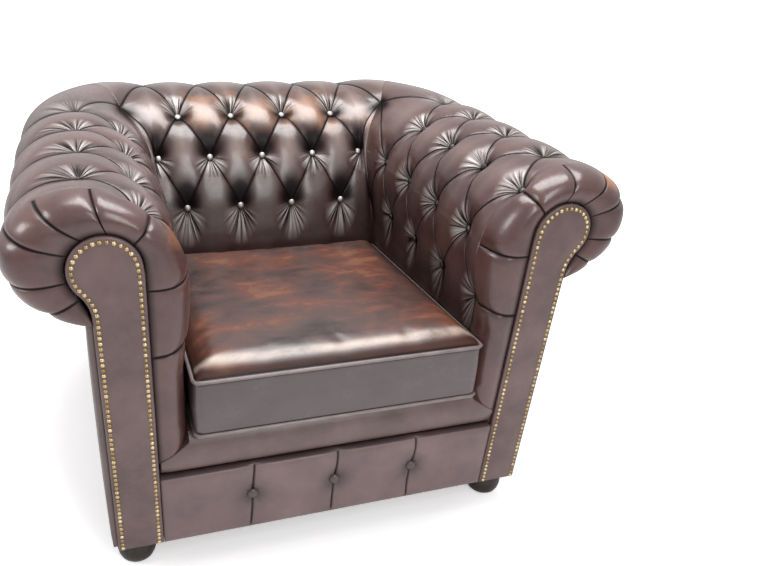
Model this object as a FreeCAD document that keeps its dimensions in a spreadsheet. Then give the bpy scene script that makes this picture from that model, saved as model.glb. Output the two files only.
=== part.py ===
"""Chesterfield armchair: hardwood frame, deep-buttoned leather arms and back, loose seat cushion.

Millimetres. +X is the viewer's right, the chair faces -Y, +Z is up. The origin lies on the floor
at the centre of the chair's outline.
"""
import FreeCAD, Part
import math
import os

os.makedirs("parts", exist_ok=True)
doc = FreeCAD.newDocument("armchair")
sheet = doc.addObject("Spreadsheet::Sheet", "Sizes")
V = FreeCAD.Vector


# Driving sizes
class Size:
    """A length together with the spreadsheet expression that gives it."""

    def __init__(self, value, text):
        self.value = float(value)
        self.text = text

    def _join(self, other, sign, result):
        text = other.text if isinstance(other, Size) else repr(other)
        return Size(result, "(" + self.text + " " + sign + " " + text + ")")

    def __add__(self, other):
        return self._join(other, "+", self.value + float(other))

    def __sub__(self, other):
        return self._join(other, "-", self.value - float(other))

    def __mul__(self, other):
        return self._join(other, "*", self.value * float(other))

    def __truediv__(self, other):
        return self._join(other, "/", self.value / float(other))

    def __neg__(self):
        return Size(-self.value, "(0 - " + self.text + ")")

    def __float__(self):
        return self.value


row = 0


def size(name, value):
    """Put one driving size in the sheet and return it."""
    global row
    row += 1
    sheet.set("A%d" % row, name)
    sheet.set("B%d" % row, str(value))
    sheet.setAlias("B%d" % row, name)
    return Size(value, "Sizes." + name)


overall_width = size("overall_width", 1040)
overall_depth = size("overall_depth", 920)
overall_height = size("overall_height", 728)
seat_gap = size("seat_gap", 539)              # between the inside arms, at the cushion
arm_lean = size("arm_lean", 16.5)             # how far the inside arm leans in above the cushion
roll_overhang = size("roll_overhang", 118)    # roll beyond the outside panel
corner_round = size("corner_round", 75)       # rear corner of the roll, drawn in on each side
roll_drop = size("roll_drop", 198)            # top of the roll to its tacked underside
back_drop = size("back_drop", 18)             # back's roll below the arms' rolls
scroll_radius = size("scroll_radius", 55)     # head of the front scroll
facing_width = size("facing_width", 80)       # stem of the front scroll
neck_round = size("neck_round", 64)           # from the stem's outer side into the head
facing_setback = size("facing_setback", 10)   # cushion's front to the facing's face
facing_thickness = size("facing_thickness", 12)
ring_depth = size("ring_depth", 60)           # pleated border round the scroll, front to back
tuft_depth = size("tuft_depth", 24)
low_tuft_depth = size("low_tuft_depth", 12)
pleat_depth = size("pleat_depth", 11)
arm_pitch = size("arm_pitch", 130.5)
back_pitch = size("back_pitch", 122.3)
back_rake_depth = size("back_rake_depth", 250)  # inside back's face to the top of its roll
button_diameter = size("button_diameter", 13)
button_seat = size("button_seat", 5.5)        # depth of a button's cone
base_button_diameter = size("base_button_diameter", 21)
base_pitch = size("base_pitch", 158)
foot_height = size("foot_height", 67)
foot_diameter = size("foot_diameter", 72)
rail_depth = size("rail_depth", 130)          # seat rails, on edge
rail_thickness = size("rail_thickness", 30)
side_rail_thickness = size("side_rail_thickness", 46)
post_width = size("post_width", 46)
board_thickness = size("board_thickness", 18)
panel_thickness = size("panel_thickness", 4)
outside_padding = size("outside_padding", 10)
cloth_thickness = size("cloth_thickness", 1.5)
web_width = size("web_width", 50)
web_thickness = size("web_thickness", 2.4)
seat_front_height = size("seat_front_height", 303)   # underside of the cushion at its front
seat_slope = size("seat_slope", 0.0743)              # fall of the seat to the back, per length
base_seam_height = size("base_seam_height", 227)
lip_depth = size("lip_depth", 95)
cushion_width = size("cushion_width", 522)
cushion_shift = size("cushion_shift", 8)      # pushed towards the right arm
cushion_length = size("cushion_length", 552)
cushion_thickness = size("cushion_thickness", 110)
cushion_crown = size("cushion_crown", 26)
cushion_corner = size("cushion_corner", 26)
piping_diameter = size("piping_diameter", 9)
zip_length = size("zip_length", 420)
bolt_diameter = size("bolt_diameter", 8)
nail_pitch = size("nail_pitch", 9.6)
nail_diameter = size("nail_diameter", 8)
clearance = size("clearance", 0.3)            # soft piece to its neighbour
doc.recompute()

FRONT = -overall_depth / 2
REAR = overall_depth / 2
FACING = FRONT + facing_setback
PANEL_X = overall_width / 2 - roll_overhang
PANEL_Y = REAR - roll_overhang
LINING_X = PANEL_X - facing_width
SCROLL_BACK = FACING + facing_thickness
RAIL_TOP = foot_height + rail_depth
WEB_TOP = RAIL_TOP + web_thickness * 2 + clearance * 3
UNDERSIDE = overall_height - roll_drop
SIDE_RAIL_OUT = LINING_X + 24
FRONT_RAIL_Y = SCROLL_BACK + clearance + 8
REAR_RAIL_Y = PANEL_Y - 110
made = []


# Making and placing solids
def keep(obj):
    made.append(obj)
    return obj


def bind(obj, **sizes):
    """Bind properties to sheet expressions; a plain number is set as it is."""
    for name, value in sizes.items():
        path = name.replace("_", ".")
        if isinstance(value, Size):
            obj.setExpression(path, value.text)
        else:
            obj.setExpression(path, repr(float(value)))


def board(name, x, y, z):
    """A plain board between two places along each axis."""
    box = doc.addObject("Part::Box", name)
    bind(box, Length=x[1] - x[0], Width=y[1] - y[0], Height=z[1] - z[0],
         Placement_Base_x=x[0], Placement_Base_y=y[0], Placement_Base_z=z[0])
    return box


def both_sides(make, stem, *args):
    """Make a piece on the right and its mirror on the left."""
    for side, word in ((1, "right"), (-1, "left")):
        make(stem + "_" + word, side, *args)


def across(side, low, high):
    """A pair of places across the chair, on the side asked for."""
    return (low, high) if side > 0 else (-high, -low)


def faceted(points, triangles):
    """A closed solid from shared corner points and triangles."""
    shell = Part.Shape()
    shell.makeShapeFromMesh(([V(*p) for p in points], triangles), 0.001)
    solid = Part.Solid(shell.Shells[0] if shell.Shells else Part.Shell(shell.Faces))
    if solid.Volume < 0:
        solid.reverse()
    return solid


def feature(label, shape):
    obj = doc.addObject("Part::Feature", label)
    obj.Shape = shape
    return keep(obj)


def group(label, solids):
    """Several solids of one kind as one piece."""
    return feature(label, Part.makeCompound(solids))


def turned(profile, sides):
    """A many-sided turned solid standing on the origin, from its profile as radius and height."""
    rings = []
    points = []
    for r, z in profile:
        if r == 0:
            rings.append([len(points)] * sides)
            points.append((0.0, 0.0, z))
            continue
        rings.append(list(range(len(points), len(points) + sides)))
        angles = [2 * math.pi * i / sides for i in range(sides)]
        points += [(r * math.cos(a), r * math.sin(a), z) for a in angles]
    triangles = []
    for low, high in zip(rings, rings[1:]):
        for i in range(sides):
            j = (i + 1) % sides
            if low[i] != low[j]:
                triangles.append((low[i], low[j], high[j]))
            if high[i] != high[j]:
                triangles.append((low[i], high[j], high[i]))
    return faceted(points, triangles)


# Outline of the arm and back rolls
TUFT_ROWS = (1, 2, 3)          # lower, middle and upper button rows
TOP_ROW = 4                    # where the pleats meet on top of the roll
LAST_ROW = 6                   # tacked edge under the roll
STEPS = 4                      # facets from one row to the next

H = float(overall_height)
BOTTOM_Z = float(seat_front_height) - 20
LINING_Z = BOTTOM_Z - 32
ROW_Z = H - 250.0              # lower button row
SHOULDER_Z = H - 156.0         # where the inside arm is nearest the sitter
SCROLL_Z = H - 105.0           # centre of the scroll's head
LEAN_Z = float(seat_front_height + cushion_thickness) + 15


def blend(a, b, t):
    return a + (b - a) * t


def arm_crest(s):
    """Crest of the arm's section at row s: distance across the chair, and height."""
    inner = float(seat_gap) / 2
    shoulder = inner - float(arm_lean)
    top = float(PANEL_X)
    outer = float(overall_width) / 2
    if s <= 2:
        row_b = SHOULDER_Z + 16
        z = blend(BOTTOM_Z, ROW_Z, s) if s <= 1 else blend(ROW_Z, row_b, s - 1)
        lean = min(max((z - LEAN_Z) / (SHOULDER_Z - LEAN_Z), 0), 1)
        return inner - float(arm_lean) * math.sin(lean * math.pi / 2), z
    if s <= TOP_ROW:
        angle = blend(6, 52, s - 2) if s <= 3 else blend(52, 90, s - 3)
        a = math.radians(angle)
        return top - (top - shoulder) * math.cos(a), SHOULDER_Z + (H - SHOULDER_Z) * math.sin(a)
    a = math.radians(90 * (5 - s))
    mid = H - 96
    drop = H - mid if s <= 5 else mid - float(UNDERSIDE)
    return top + clearance.value + (outer - top - clearance.value) * math.cos(a), mid + drop * math.sin(a)


def back_crest(s):
    """Crest of the back's section at row s: distance to the rear, and height."""
    top = float(REAR) - 105
    low = top - float(back_rake_depth)
    centre = H - 325
    roof = H - 8
    droop = roof - (H - float(back_drop))
    if s <= 1:
        a = math.radians(15)
        z1 = centre + (roof - centre) * math.sin(a)
        z = blend(BOTTOM_Z, z1, s)
        lean = max(z - centre, 0) / (roof - centre)
        return top - (top - low) * math.sqrt(1 - lean * lean), z
    if s <= TOP_ROW:
        angles = (15, 37, 59, 90)
        i = min(int(s) - 1, 2)
        a = math.radians(blend(angles[i], angles[i + 1], s - 1 - i))
        return top - (top - low) * math.cos(a), centre + (roof - centre) * math.sin(a) - droop * max(s - 3, 0)
    a = math.radians(90 * (5 - s))
    mid = H - 96
    drop = roof - droop - mid if s <= 5 else mid - float(UNDERSIDE)
    end = float(PANEL_Y) + clearance.value
    reach = float(REAR)
    near = top if s <= 5 else end
    return near + (reach - near) * math.cos(a), mid + drop * math.sin(a)


def scroll(s, stem, panel, low):
    """Lining under the padding at row s: the outline of the frame's scroll."""
    r = float(scroll_radius)
    centre = stem + r
    if s <= 2:
        t = s / 2
        return blend(low, stem, t), blend(LINING_Z, SCROLL_Z - 40, t)
    if s <= 2.5:
        return stem, blend(SCROLL_Z - 40, SCROLL_Z, (s - 2) * 2)
    if s <= 3:
        a = math.radians(blend(180, 135, (s - 2.5) * 2))
        return centre + r * math.cos(a), SCROLL_Z + r * math.sin(a)
    if s <= 5:
        a = math.radians(blend(135, 90, s - 3) if s <= 4 else blend(90, 0, s - 4))
        return centre + r * math.cos(a), SCROLL_Z + r * math.sin(a)
    end = (panel + 3 * clearance.value, float(UNDERSIDE) + 14)
    if s <= 5.5:
        a = math.radians(-40 * (s - 5) * 2)
        return centre + r * math.cos(a), SCROLL_Z + r * math.sin(a)
    a = math.radians(-40)
    t = (s - 5.5) * 2
    return (blend(centre + r * math.cos(a), end[0], t), blend(SCROLL_Z + r * math.sin(a), end[1], t))


def arm_lining(s):
    return scroll(s, float(LINING_X), float(PANEL_X), float(LINING_X))


def back_lining(s):
    stem = float(PANEL_Y) - 2 * float(scroll_radius) + 30
    return scroll(s, stem, float(PANEL_Y), stem - 97)


def section_normal(crest, s):
    """Unit normal of a section, out of the padding."""
    a = crest(max(s - 0.05, 0))
    b = crest(min(s + 0.05, LAST_ROW))
    du, dz = b[0] - a[0], b[1] - a[1]
    length = math.hypot(du, dz)
    return -dz / length, du / length


def tuft(u, s):
    """Depth of the quilting: u counts half pitches along the roll, s counts rows up the section.

    Buttons stand where u and s are both odd or both even; pleats run between them as diamonds,
    and straight over the roll and down to the seat.
    """
    if s <= 0 or s >= LAST_ROW:
        return 0.0
    if s > TOP_ROW:
        fade = min(LAST_ROW - s, 1)
        return float(pleat_depth) * 0.8 * fade * (1 - abs(math.sin(math.pi * u / 2)) ** 0.6)
    if s < 1:
        across_pleat = 1 - abs(math.sin(math.pi * (u - 1) / 2)) ** 0.6
        return blend(0, float(low_tuft_depth), s) * across_pleat
    p = math.pi * (u + s) / 2
    q = math.pi * (u - s) / 2
    low, high = float(low_tuft_depth), float(tuft_depth)
    button = blend(low, high, s - 1) if s < 2 else high if s < 3 else blend(high, pleat_depth.value, s - 3)
    pleat = blend(low * 0.6, pleat_depth.value, s - 1) if s < 2 else pleat_depth.value
    near = abs(math.cos(p) * math.cos(q)) ** 3
    pillow = math.sqrt(abs(math.sin(p) * math.sin(q)))
    return (pleat + (button - pleat) * near) * (1 - pillow)


def diamond_side(i, j):
    """Which way the pleat crosses the block in column i, row j."""
    return (i + j) % 2 == 0


class Skin:
    """Collects the corner points and triangles of one padded solid."""

    def __init__(self):
        self.points = []
        self.index = {}
        self.triangles = []

    def add(self, p):
        key = (round(p[0], 5), round(p[1], 5), round(p[2], 5))
        if key not in self.index:
            self.index[key] = len(self.points)
            self.points.append(key)
        return self.index[key]

    def tri(self, a, b, c):
        i, j, k = self.add(a), self.add(b), self.add(c)
        if len({i, j, k}) == 3:
            self.triangles.append((i, j, k))

    def quad(self, a, b, c, d, turn):
        if turn:
            self.tri(a, b, c)
            self.tri(a, c, d)
        else:
            self.tri(a, b, d)
            self.tri(b, c, d)

    def solid(self):
        return faceted(self.points, self.triangles)

    def mirrored(self):
        other = Skin()
        other.points = [(-p[0], p[1], p[2]) for p in self.points]
        other.triangles = [(a, c, b) for a, b, c in self.triangles]
        return other.solid()


ROWS = [i / STEPS for i in range(LAST_ROW * STEPS + 1)]


def mitre(s, arm, back, pull=0.0):
    """Where the arm's and the back's sections meet in the corner, drawn in by pull."""
    x, za = arm(s)
    y, zb = back(s)
    return x - pull, y - pull, (za + zb) / 2


def corner_pull(s):
    """How far the rounded rear corner of the roll lies inside a square one."""
    if s <= 3:
        return 0.0
    share = math.sin(math.pi * (s - 3) / 4) if s <= 5 else math.cos(math.pi * (s - 5) / 2)
    return float(corner_round) * share


def towards(a, b, t, swing):
    """From a to b: the second place runs evenly, the first turns late, to round the corner."""
    return blend(a, b, t ** swing)


CORNER_STEPS = 8               # facets from the last button to the corner


def arm_columns():
    """Places along the arm: half pitches back from the first button, and a ring in front."""
    first = float(FACING) + ring_depth.value + 4
    half = float(arm_pitch) / 2
    reach = back_crest(0)[0] - 24
    blocks = max(int((reach - first) / half), 2)
    return first, half, blocks


RING_PLEATS = (1, 2, 3, 3.75, 4.25, 4.75, 5.25, 5.75)


def arm_point(s, u):
    """Surface of the quilted arm, u half pitches back from the first button."""
    first, half, blocks = arm_columns()
    x, z = arm_crest(s)
    nx, nz = section_normal(arm_crest, s)
    depth = tuft(u + 1, s)
    if u <= blocks:
        return x + nx * -depth, first + u * half, z - nz * depth
    mx, my, mz = mitre(s, arm_crest, back_crest, corner_pull(s))
    t = u - blocks
    deep = depth * (1 - t)
    y0 = first + blocks * half
    return towards(x, mx, t, 3) - nx * deep, blend(y0, my, t), blend(z, mz, t) - nz * deep


def ring_point(s, t):
    """Pleated border from the quilting (t = 0) round to the facing's edge (t = 1)."""
    first = arm_columns()[0]
    x, z = arm_crest(s)
    lx, lz = arm_lining(s)
    if t == 0:
        return arm_point(s, 0)
    pleat = 5.0 if s in RING_PLEATS else 0.0
    turn = t * math.pi / 2
    out = math.cos(turn) ** 0.75
    forward = (float(ring_depth) + 4) * math.sin(t * math.pi * 0.62)
    hollow = pleat * math.sin(t * math.pi)
    reach = max(math.hypot(x - lx, z - lz), 1)
    px = lx + (x - lx) * out * (1 - hollow / reach)
    pz = lz + (z - lz) * out * (1 - hollow / reach)
    return px, first - forward + hollow * 0.5, pz


RING_STEPS = 6


def arm_skin():
    blocks = arm_columns()[2]
    skin = Skin()
    ring = [i / RING_STEPS for i in range(RING_STEPS, 0, -1)]
    along = [i / STEPS for i in range(blocks * STEPS)]
    along += [blocks + i / CORNER_STEPS for i in range(CORNER_STEPS + 1)]
    columns = [[ring_point(s, t) for s in ROWS] for t in ring]
    columns += [[arm_point(s, u) for s in ROWS] for u in along]
    for i in range(len(columns) - 1):
        block = min((i - len(ring)) // STEPS, blocks)
        for j in range(len(ROWS) - 1):
            a, b = columns[i][j], columns[i + 1][j]
            c, d = columns[i + 1][j + 1], columns[i][j + 1]
            skin.quad(a, b, c, d, diamond_side(block + 1, j // STEPS))
    front = columns[0]
    rear = [mitre(s, arm_lining, back_lining) for s in ROWS]
    for j in range(len(ROWS) - 1):
        skin.quad(front[j + 1], rear[j + 1], rear[j], front[j], True)
        mitre_face(skin, columns[-1], rear, j, True)
    for edge, flip in ((0, False), (-1, True)):
        for i in range(len(columns) - 1):
            a, b = columns[i][edge], columns[i + 1][edge]
            if flip:
                a, b = b, a
            skin.tri(rear[edge], b, a)
    return skin


def mitre_face(skin, crest, lining, j, flip):
    """The joint between arm and back, the same two triangles on both."""
    a, b, c, d = crest[j], lining[j], lining[j + 1], crest[j + 1]
    if flip:
        skin.tri(a, b, c)
        skin.tri(a, c, d)
    else:
        skin.tri(a, c, b)
        skin.tri(a, d, c)


def back_blocks():
    """Half pitches from the middle of the back to its last full column."""
    half = float(back_pitch) / 2
    return max(int((float(seat_gap) / 2 - 20) / half), 1), half


def back_point(s, u):
    """Surface of the quilted back, u half pitches right of its middle."""
    blocks, half = back_blocks()
    side = -1 if u < 0 else 1
    y, z = back_crest(s)
    ny, nz = section_normal(back_crest, s)
    depth = tuft(u, s)
    if abs(u) <= blocks:
        return u * half, y - ny * depth, z - nz * depth
    mx, my, mz = mitre(s, arm_crest, back_crest, corner_pull(s))
    t = abs(u) - blocks
    deep = depth * (1 - t)
    x = blend(blocks * half, mx, t)
    return side * x, towards(y, my, t, 3) - ny * deep, blend(z, mz, t) - nz * deep


def back_skin():
    blocks = back_blocks()[0]
    skin = Skin()
    corner = [blocks + i / CORNER_STEPS for i in range(1, CORNER_STEPS + 1)]
    straight = [i / STEPS for i in range(-blocks * STEPS, blocks * STEPS + 1)]
    along = [-u for u in reversed(corner)] + straight + corner
    columns = [[back_point(s, u) for s in ROWS] for u in along]
    for i in range(len(columns) - 1):
        block = math.floor((along[i] + along[i + 1]) / 2)
        for j in range(len(ROWS) - 1):
            a, b = columns[i][j], columns[i + 1][j]
            c, d = columns[i + 1][j + 1], columns[i][j + 1]
            skin.quad(a, b, c, d, diamond_side(block, j // STEPS))
    right = [mitre(s, arm_lining, back_lining) for s in ROWS]
    left = [(-p[0], p[1], p[2]) for p in right]
    for j in range(len(ROWS) - 1):
        skin.quad(left[j + 1], right[j + 1], right[j], left[j], True)
        mitre_face(skin, columns[-1], right, j, True)
        mitre_face(skin, columns[0], left, j, False)
    for edge, flip in ((0, False), (-1, True)):
        rim = [left[edge]] + [column[edge] for column in columns]
        for a, b in zip(rim, rim[1:]):
            if flip:
                a, b = b, a
            skin.tri(right[edge], b, a)
    return skin


arm = arm_skin()
feature("inside_arm_right", arm.solid())
feature("inside_arm_left", arm.mirrored())
feature("inside_back", back_skin().solid())


# Buttons
BUTTON_SIDES = 10
CORNER_INSET = 0.12            # half pitches from the corner to the back's end buttons
BUTTON_LIFT = 0.35
FRONT_LIFT = 1.1               # buttons next to an arm's front border
CORNER_LIFT = 0.9


def button(place, normal, diameter, seat, lift):
    """A domed button on its tapered shank, lifted off the bottom of a tuft."""
    r = float(diameter) / 2
    rim = float(seat)
    dome = [(r, rim), (r * 0.86, rim + r * 0.28), (r * 0.5, rim + r * 0.45), (0, rim + r * 0.5)]
    solid = turned([(0, 0)] + dome, BUTTON_SIDES)
    facing_out = FreeCAD.Rotation(V(0, 0, 1), V(*normal))
    solid.Placement = FreeCAD.Placement(V(*place) + V(*normal) * lift, facing_out)
    return solid


def arm_button_places():
    """Button rows of the arm, as row and half pitch; the lowest row starts behind the border."""
    blocks = arm_columns()[2]
    places = [(s, u) for s in TUFT_ROWS for u in range(blocks + 1) if (s + u) % 2 == 1]
    return [(s, u) for s, u in places if s > 1 or u > 0]


def arm_buttons(label, side):
    solids = []
    for s, u in arm_button_places():
        p = arm_point(s, u)
        n = section_normal(arm_crest, s)
        place, normal = (side * p[0], p[1], p[2]), (side * n[0], 0, n[1])
        lift = FRONT_LIFT if u == 0 else BUTTON_LIFT
        solids.append(button(place, normal, button_diameter, button_seat, lift))
    feature(label, Part.makeCompound(solids))


def back_buttons():
    blocks = back_blocks()[0]
    solids = []
    for s in TUFT_ROWS:
        n = section_normal(back_crest, s)
        for u in range(-blocks, blocks + 1):
            if (s + u) % 2 == 0:
                in_corner = abs(u) == blocks
                place = back_point(s, u * (1 - CORNER_INSET / blocks) if in_corner else u)
                lift = CORNER_LIFT if in_corner else BUTTON_LIFT
                solids.append(button(place, (0, n[0], n[1]), button_diameter, button_seat, lift))
    feature("back_buttons", Part.makeCompound(solids))


both_sides(arm_buttons, "arm_buttons")
back_buttons()


# Seat frame
FRAME_REAR = PANEL_Y - panel_thickness
SIDE_RAIL_IN = SIDE_RAIL_OUT - side_rail_thickness
POST_TOP = overall_height - 125
post_front = SCROLL_BACK + board_thickness
post_rear = FRAME_REAR - post_width
STEM_Y = PANEL_Y - scroll_radius * 2 + 30

keep(board("front_rail", (-SIDE_RAIL_IN, SIDE_RAIL_IN), (FRONT_RAIL_Y, FRONT_RAIL_Y + rail_thickness),
           (foot_height, RAIL_TOP)))
keep(board("rear_rail", (-SIDE_RAIL_IN, SIDE_RAIL_IN), (FRAME_REAR - rail_thickness, FRAME_REAR),
           (foot_height, RAIL_TOP)))


def side_rail(label, side):
    keep(board(label, across(side, SIDE_RAIL_IN, SIDE_RAIL_OUT), (post_front, FRAME_REAR),
               (foot_height, RAIL_TOP)))


def bored_post(label, side, y):
    """Upright with the hole for the foot's bolt in its lower end."""
    upright = board(label + "_wood", across(side, SIDE_RAIL_OUT, SIDE_RAIL_OUT + post_width),
                    (y, y + post_width), (foot_height, POST_TOP))
    hole = doc.addObject("Part::Cylinder", label + "_hole")
    bind(hole, Radius=bolt_diameter / 2 + clearance, Height=foot_height / 2 + clearance,
         Placement_Base_x=(SIDE_RAIL_OUT + post_width / 2) * side,
         Placement_Base_y=y + post_width / 2, Placement_Base_z=foot_height)
    cut = doc.addObject("Part::Cut", label)
    cut.Base = upright
    cut.Tool = hole
    keep(cut)


def front_post(label, side):
    bored_post(label, side, post_front)


def rear_post(label, side):
    bored_post(label, side, post_rear)


def arm_tack_rail(label, side):
    keep(board(label, across(side, LINING_X + clearance, SIDE_RAIL_OUT), (post_front, FRAME_REAR),
               (seat_front_height - 50, seat_front_height + 8)))


def arm_rail(label, side):
    keep(board(label, across(side, LINING_X + 8, LINING_X + scroll_radius * 2 - 8),
               (post_front, STEM_Y + 8), (POST_TOP, POST_TOP + 24)))


both_sides(side_rail, "side_rail")
both_sides(front_post, "front_post")
both_sides(rear_post, "rear_post")
both_sides(arm_tack_rail, "arm_tack_rail")
both_sides(arm_rail, "arm_rail")
keep(board("back_rail", (-(PANEL_X + 18), PANEL_X + 18), (STEM_Y + 8, STEM_Y + scroll_radius * 2 - 8),
           (POST_TOP, POST_TOP + 24)))
keep(board("back_tack_rail", (-LINING_X, LINING_X), (STEM_Y - 78, STEM_Y - 50),
           (seat_front_height - 50, seat_front_height + 8)))


def back_uprights():
    width = 45.0
    depth = rail_thickness.value / 2
    bottom = float(RAIL_TOP)
    solids = []
    for x in (-100.0, 100.0):
        solids.append(Part.makeBox(width, depth, float(POST_TOP) - bottom,
                                   V(x - width / 2, float(FRAME_REAR) - depth, bottom)))
    group("back_uprights", solids)


def corner_blocks():
    """Glued triangular blocks in the corners of the seat frame."""
    leg = 62.0
    z = float(foot_height) + 15
    height = rail_depth.value - 30
    x = float(SIDE_RAIL_IN)
    solids = []
    for y, way in ((float(FRONT_RAIL_Y + rail_thickness), 1), (float(FRAME_REAR - rail_thickness), -1)):
        for side in (-1, 1):
            corner = V(side * x, y, z)
            ends = [corner, corner + V(-side * leg, 0, 0), corner + V(0, way * leg, 0), corner]
            solids.append(Part.Face(Part.makePolygon(ends)).extrude(V(0, 0, height)))
    group("corner_blocks", solids)


back_uprights()
corner_blocks()


# Front scrolls
def neck_edge(shape, x):
    """Number of the edge where the stem's outer side runs into the head."""
    low, high = SCROLL_Z - float(scroll_radius), SCROLL_Z
    for number, edge in enumerate(shape.Edges, 1):
        middle = edge.CenterOfMass
        along_y = abs(edge.BoundBox.YLength - edge.Length) < 0.001
        if along_y and abs(middle.x - x) < 0.01 and low < middle.z < high:
            return number
    raise SystemExit("no neck edge")


def scroll_shape(label, side, y, stem_x, radius):
    """Stem and round head cut from one board."""
    stem = board(label + "_stem", across(side, *stem_x), y, (foot_height, overall_height - 105))
    head = doc.addObject("Part::Cylinder", label + "_head")
    head.Placement = FreeCAD.Placement(V(0, 0, 0), FreeCAD.Rotation(V(1, 0, 0), -90))
    bind(head, Radius=radius, Height=y[1] - y[0], Placement_Base_x=(LINING_X + scroll_radius) * side,
         Placement_Base_y=y[0], Placement_Base_z=overall_height - 105)
    fused = doc.addObject("Part::Fuse", label + "_outline")
    fused.Base = stem
    fused.Tool = head
    fused.Refine = True
    doc.recompute()
    neck = doc.addObject("Part::Fillet", label)
    neck.Base = fused
    neck.Edges = [(neck_edge(fused.Shape, side * float(stem_x[1])), neck_round.value, neck_round.value)]
    keep(neck)


def scroll_board(label, side):
    scroll_shape(label, side, (SCROLL_BACK, SCROLL_BACK + board_thickness),
                 (LINING_X + clearance, PANEL_X - panel_thickness), scroll_radius - 1.5)


def facing(label, side):
    scroll_shape(label, side, (FACING, SCROLL_BACK), (LINING_X + clearance, PANEL_X),
                 scroll_radius - 1.5)


both_sides(scroll_board, "scroll_board")
both_sides(facing, "facing")


def nail_line():
    """Places of the nails round a facing, from the foot of its inner side."""
    edge = 8.0
    inner = float(LINING_X) + edge
    outer = float(PANEL_X) - edge
    low = float(foot_height) + 6
    centre = float(LINING_X + scroll_radius)
    r = scroll_radius.value - edge
    bend = neck_round.value + edge
    reach = outer + bend - centre
    neck_z = SCROLL_Z - math.sqrt((r + bend) ** 2 - reach ** 2)
    end = -math.acos(reach / (r + bend))
    steps = 24
    path = [(inner, low), (inner, SCROLL_Z)]
    path += [(centre + r * math.cos(a), SCROLL_Z + r * math.sin(a))
             for a in (blend(math.pi, end, i / (2 * steps)) for i in range(2 * steps + 1))]
    path += [(outer + bend + bend * math.cos(a), neck_z + bend * math.sin(a))
             for a in (blend(math.pi + end, math.pi, i / steps) for i in range(steps + 1))]
    path.append((outer, low))
    runs = [math.dist(a, b) for a, b in zip(path, path[1:])]
    count = int(sum(runs) / float(nail_pitch))
    places = []
    for i in range(count + 1):
        d = sum(runs) * i / count
        k = 0
        while k < len(runs) - 1 and d > runs[k]:
            d -= runs[k]
            k += 1
        t = min(d / max(runs[k], 0.001), 1)
        places.append((blend(path[k][0], path[k + 1][0], t), blend(path[k][1], path[k + 1][1], t)))
    return places


def nail(x, y, z):
    """One domed nail head, as a six-sided stud."""
    r = nail_diameter.value / 2
    rim = [(x + r * math.cos(math.pi * i / 3), y, z + r * math.sin(math.pi * i / 3)) for i in range(6)]
    points = rim + [(x, y - r * 0.7, z)]
    sides = [(i, (i + 1) % 6, 6) for i in range(6)]
    base = [(0, i + 1, i) for i in range(1, 5)]
    return faceted(points, sides + base)


def facing_nails(label, side):
    group(label, [nail(side * x, float(FACING), z) for x, z in nail_line()])


both_sides(facing_nails, "facing_nails")


# Outside panels and under cloth
def padded_panel(label, card, pad):
    """Card under leather, with a pad over it below the roll."""
    fused = doc.addObject("Part::Fuse", label)
    fused.Base = board(label + "_card", *card, (foot_height, UNDERSIDE + 11))
    fused.Tool = board(label + "_pad", *pad, (foot_height, UNDERSIDE - 8))
    keep(fused)


def outside_arm(label, side):
    y = (SCROLL_BACK, PANEL_Y)
    padded_panel(label, (across(side, PANEL_X - panel_thickness, PANEL_X), y),
                 (across(side, PANEL_X, PANEL_X + outside_padding), y))


both_sides(outside_arm, "outside_arm")
inner_panel = PANEL_X - panel_thickness
padded_width = PANEL_X + outside_padding
padded_panel("outside_back", ((-inner_panel, inner_panel), (FRAME_REAR, PANEL_Y)),
             ((-padded_width, padded_width), (PANEL_Y, PANEL_Y + outside_padding)))
keep(board("under_cloth", (-(SIDE_RAIL_IN + 14), SIDE_RAIL_IN + 14), (FRONT_RAIL_Y + 10, FRAME_REAR - 10),
           (foot_height - cloth_thickness, foot_height)))


# Seat
def seat_plane(y):
    return float(seat_front_height) - float(seat_slope) * (y - float(FRONT))


def webbing():
    width = web_width.value
    t = web_thickness.value
    y0, y1 = float(FRONT_RAIL_Y) + 5, float(FRAME_REAR) - rail_thickness.value / 2 - 1
    z = float(RAIL_TOP)
    x1 = float(SIDE_RAIL_OUT) - 5
    pitch = width * 2
    long_straps = [Part.makeBox(width, y1 - y0, t, V(i * pitch - width / 2, y0, z)) for i in range(-2, 3)]
    group("webbing_long", long_straps)
    y0 = float(post_front) + 2
    rows = int((y1 - y0 - width) / pitch)
    step = (y1 - y0 - width) / rows
    group("webbing_cross", [Part.makeBox(2 * x1, width, t, V(-x1, y0 + i * step, z + t + clearance.value))
                            for i in range(rows + 1)])


def prism(points, along):
    """Straight solid from an outline given as corner points."""
    return Part.Face(Part.makePolygon([V(*p) for p in points + points[:1]])).extrude(V(*along))


def under_arms(y0, y1):
    """Space below the arms' padding and the cushion, across the chair."""
    half = float(LINING_X) - 3
    gap = float(seat_gap) / 2 - clearance.value
    low = float(foot_height)
    top = H
    slope = (BOTTOM_Z - LINING_Z) / (float(LINING_X) - float(seat_gap) / 2)
    edge = LINING_Z + 3 * slope - 1.5
    shoulder = edge + slope * (half - gap)
    section = [(-half, y0, low), (half, y0, low), (half, y0, edge), (gap, y0, shoulder), (gap, y0, top),
               (-gap, y0, top), (-gap, y0, shoulder), (-half, y0, edge)]
    return prism(section, (0, y1 - y0, 0))


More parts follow.
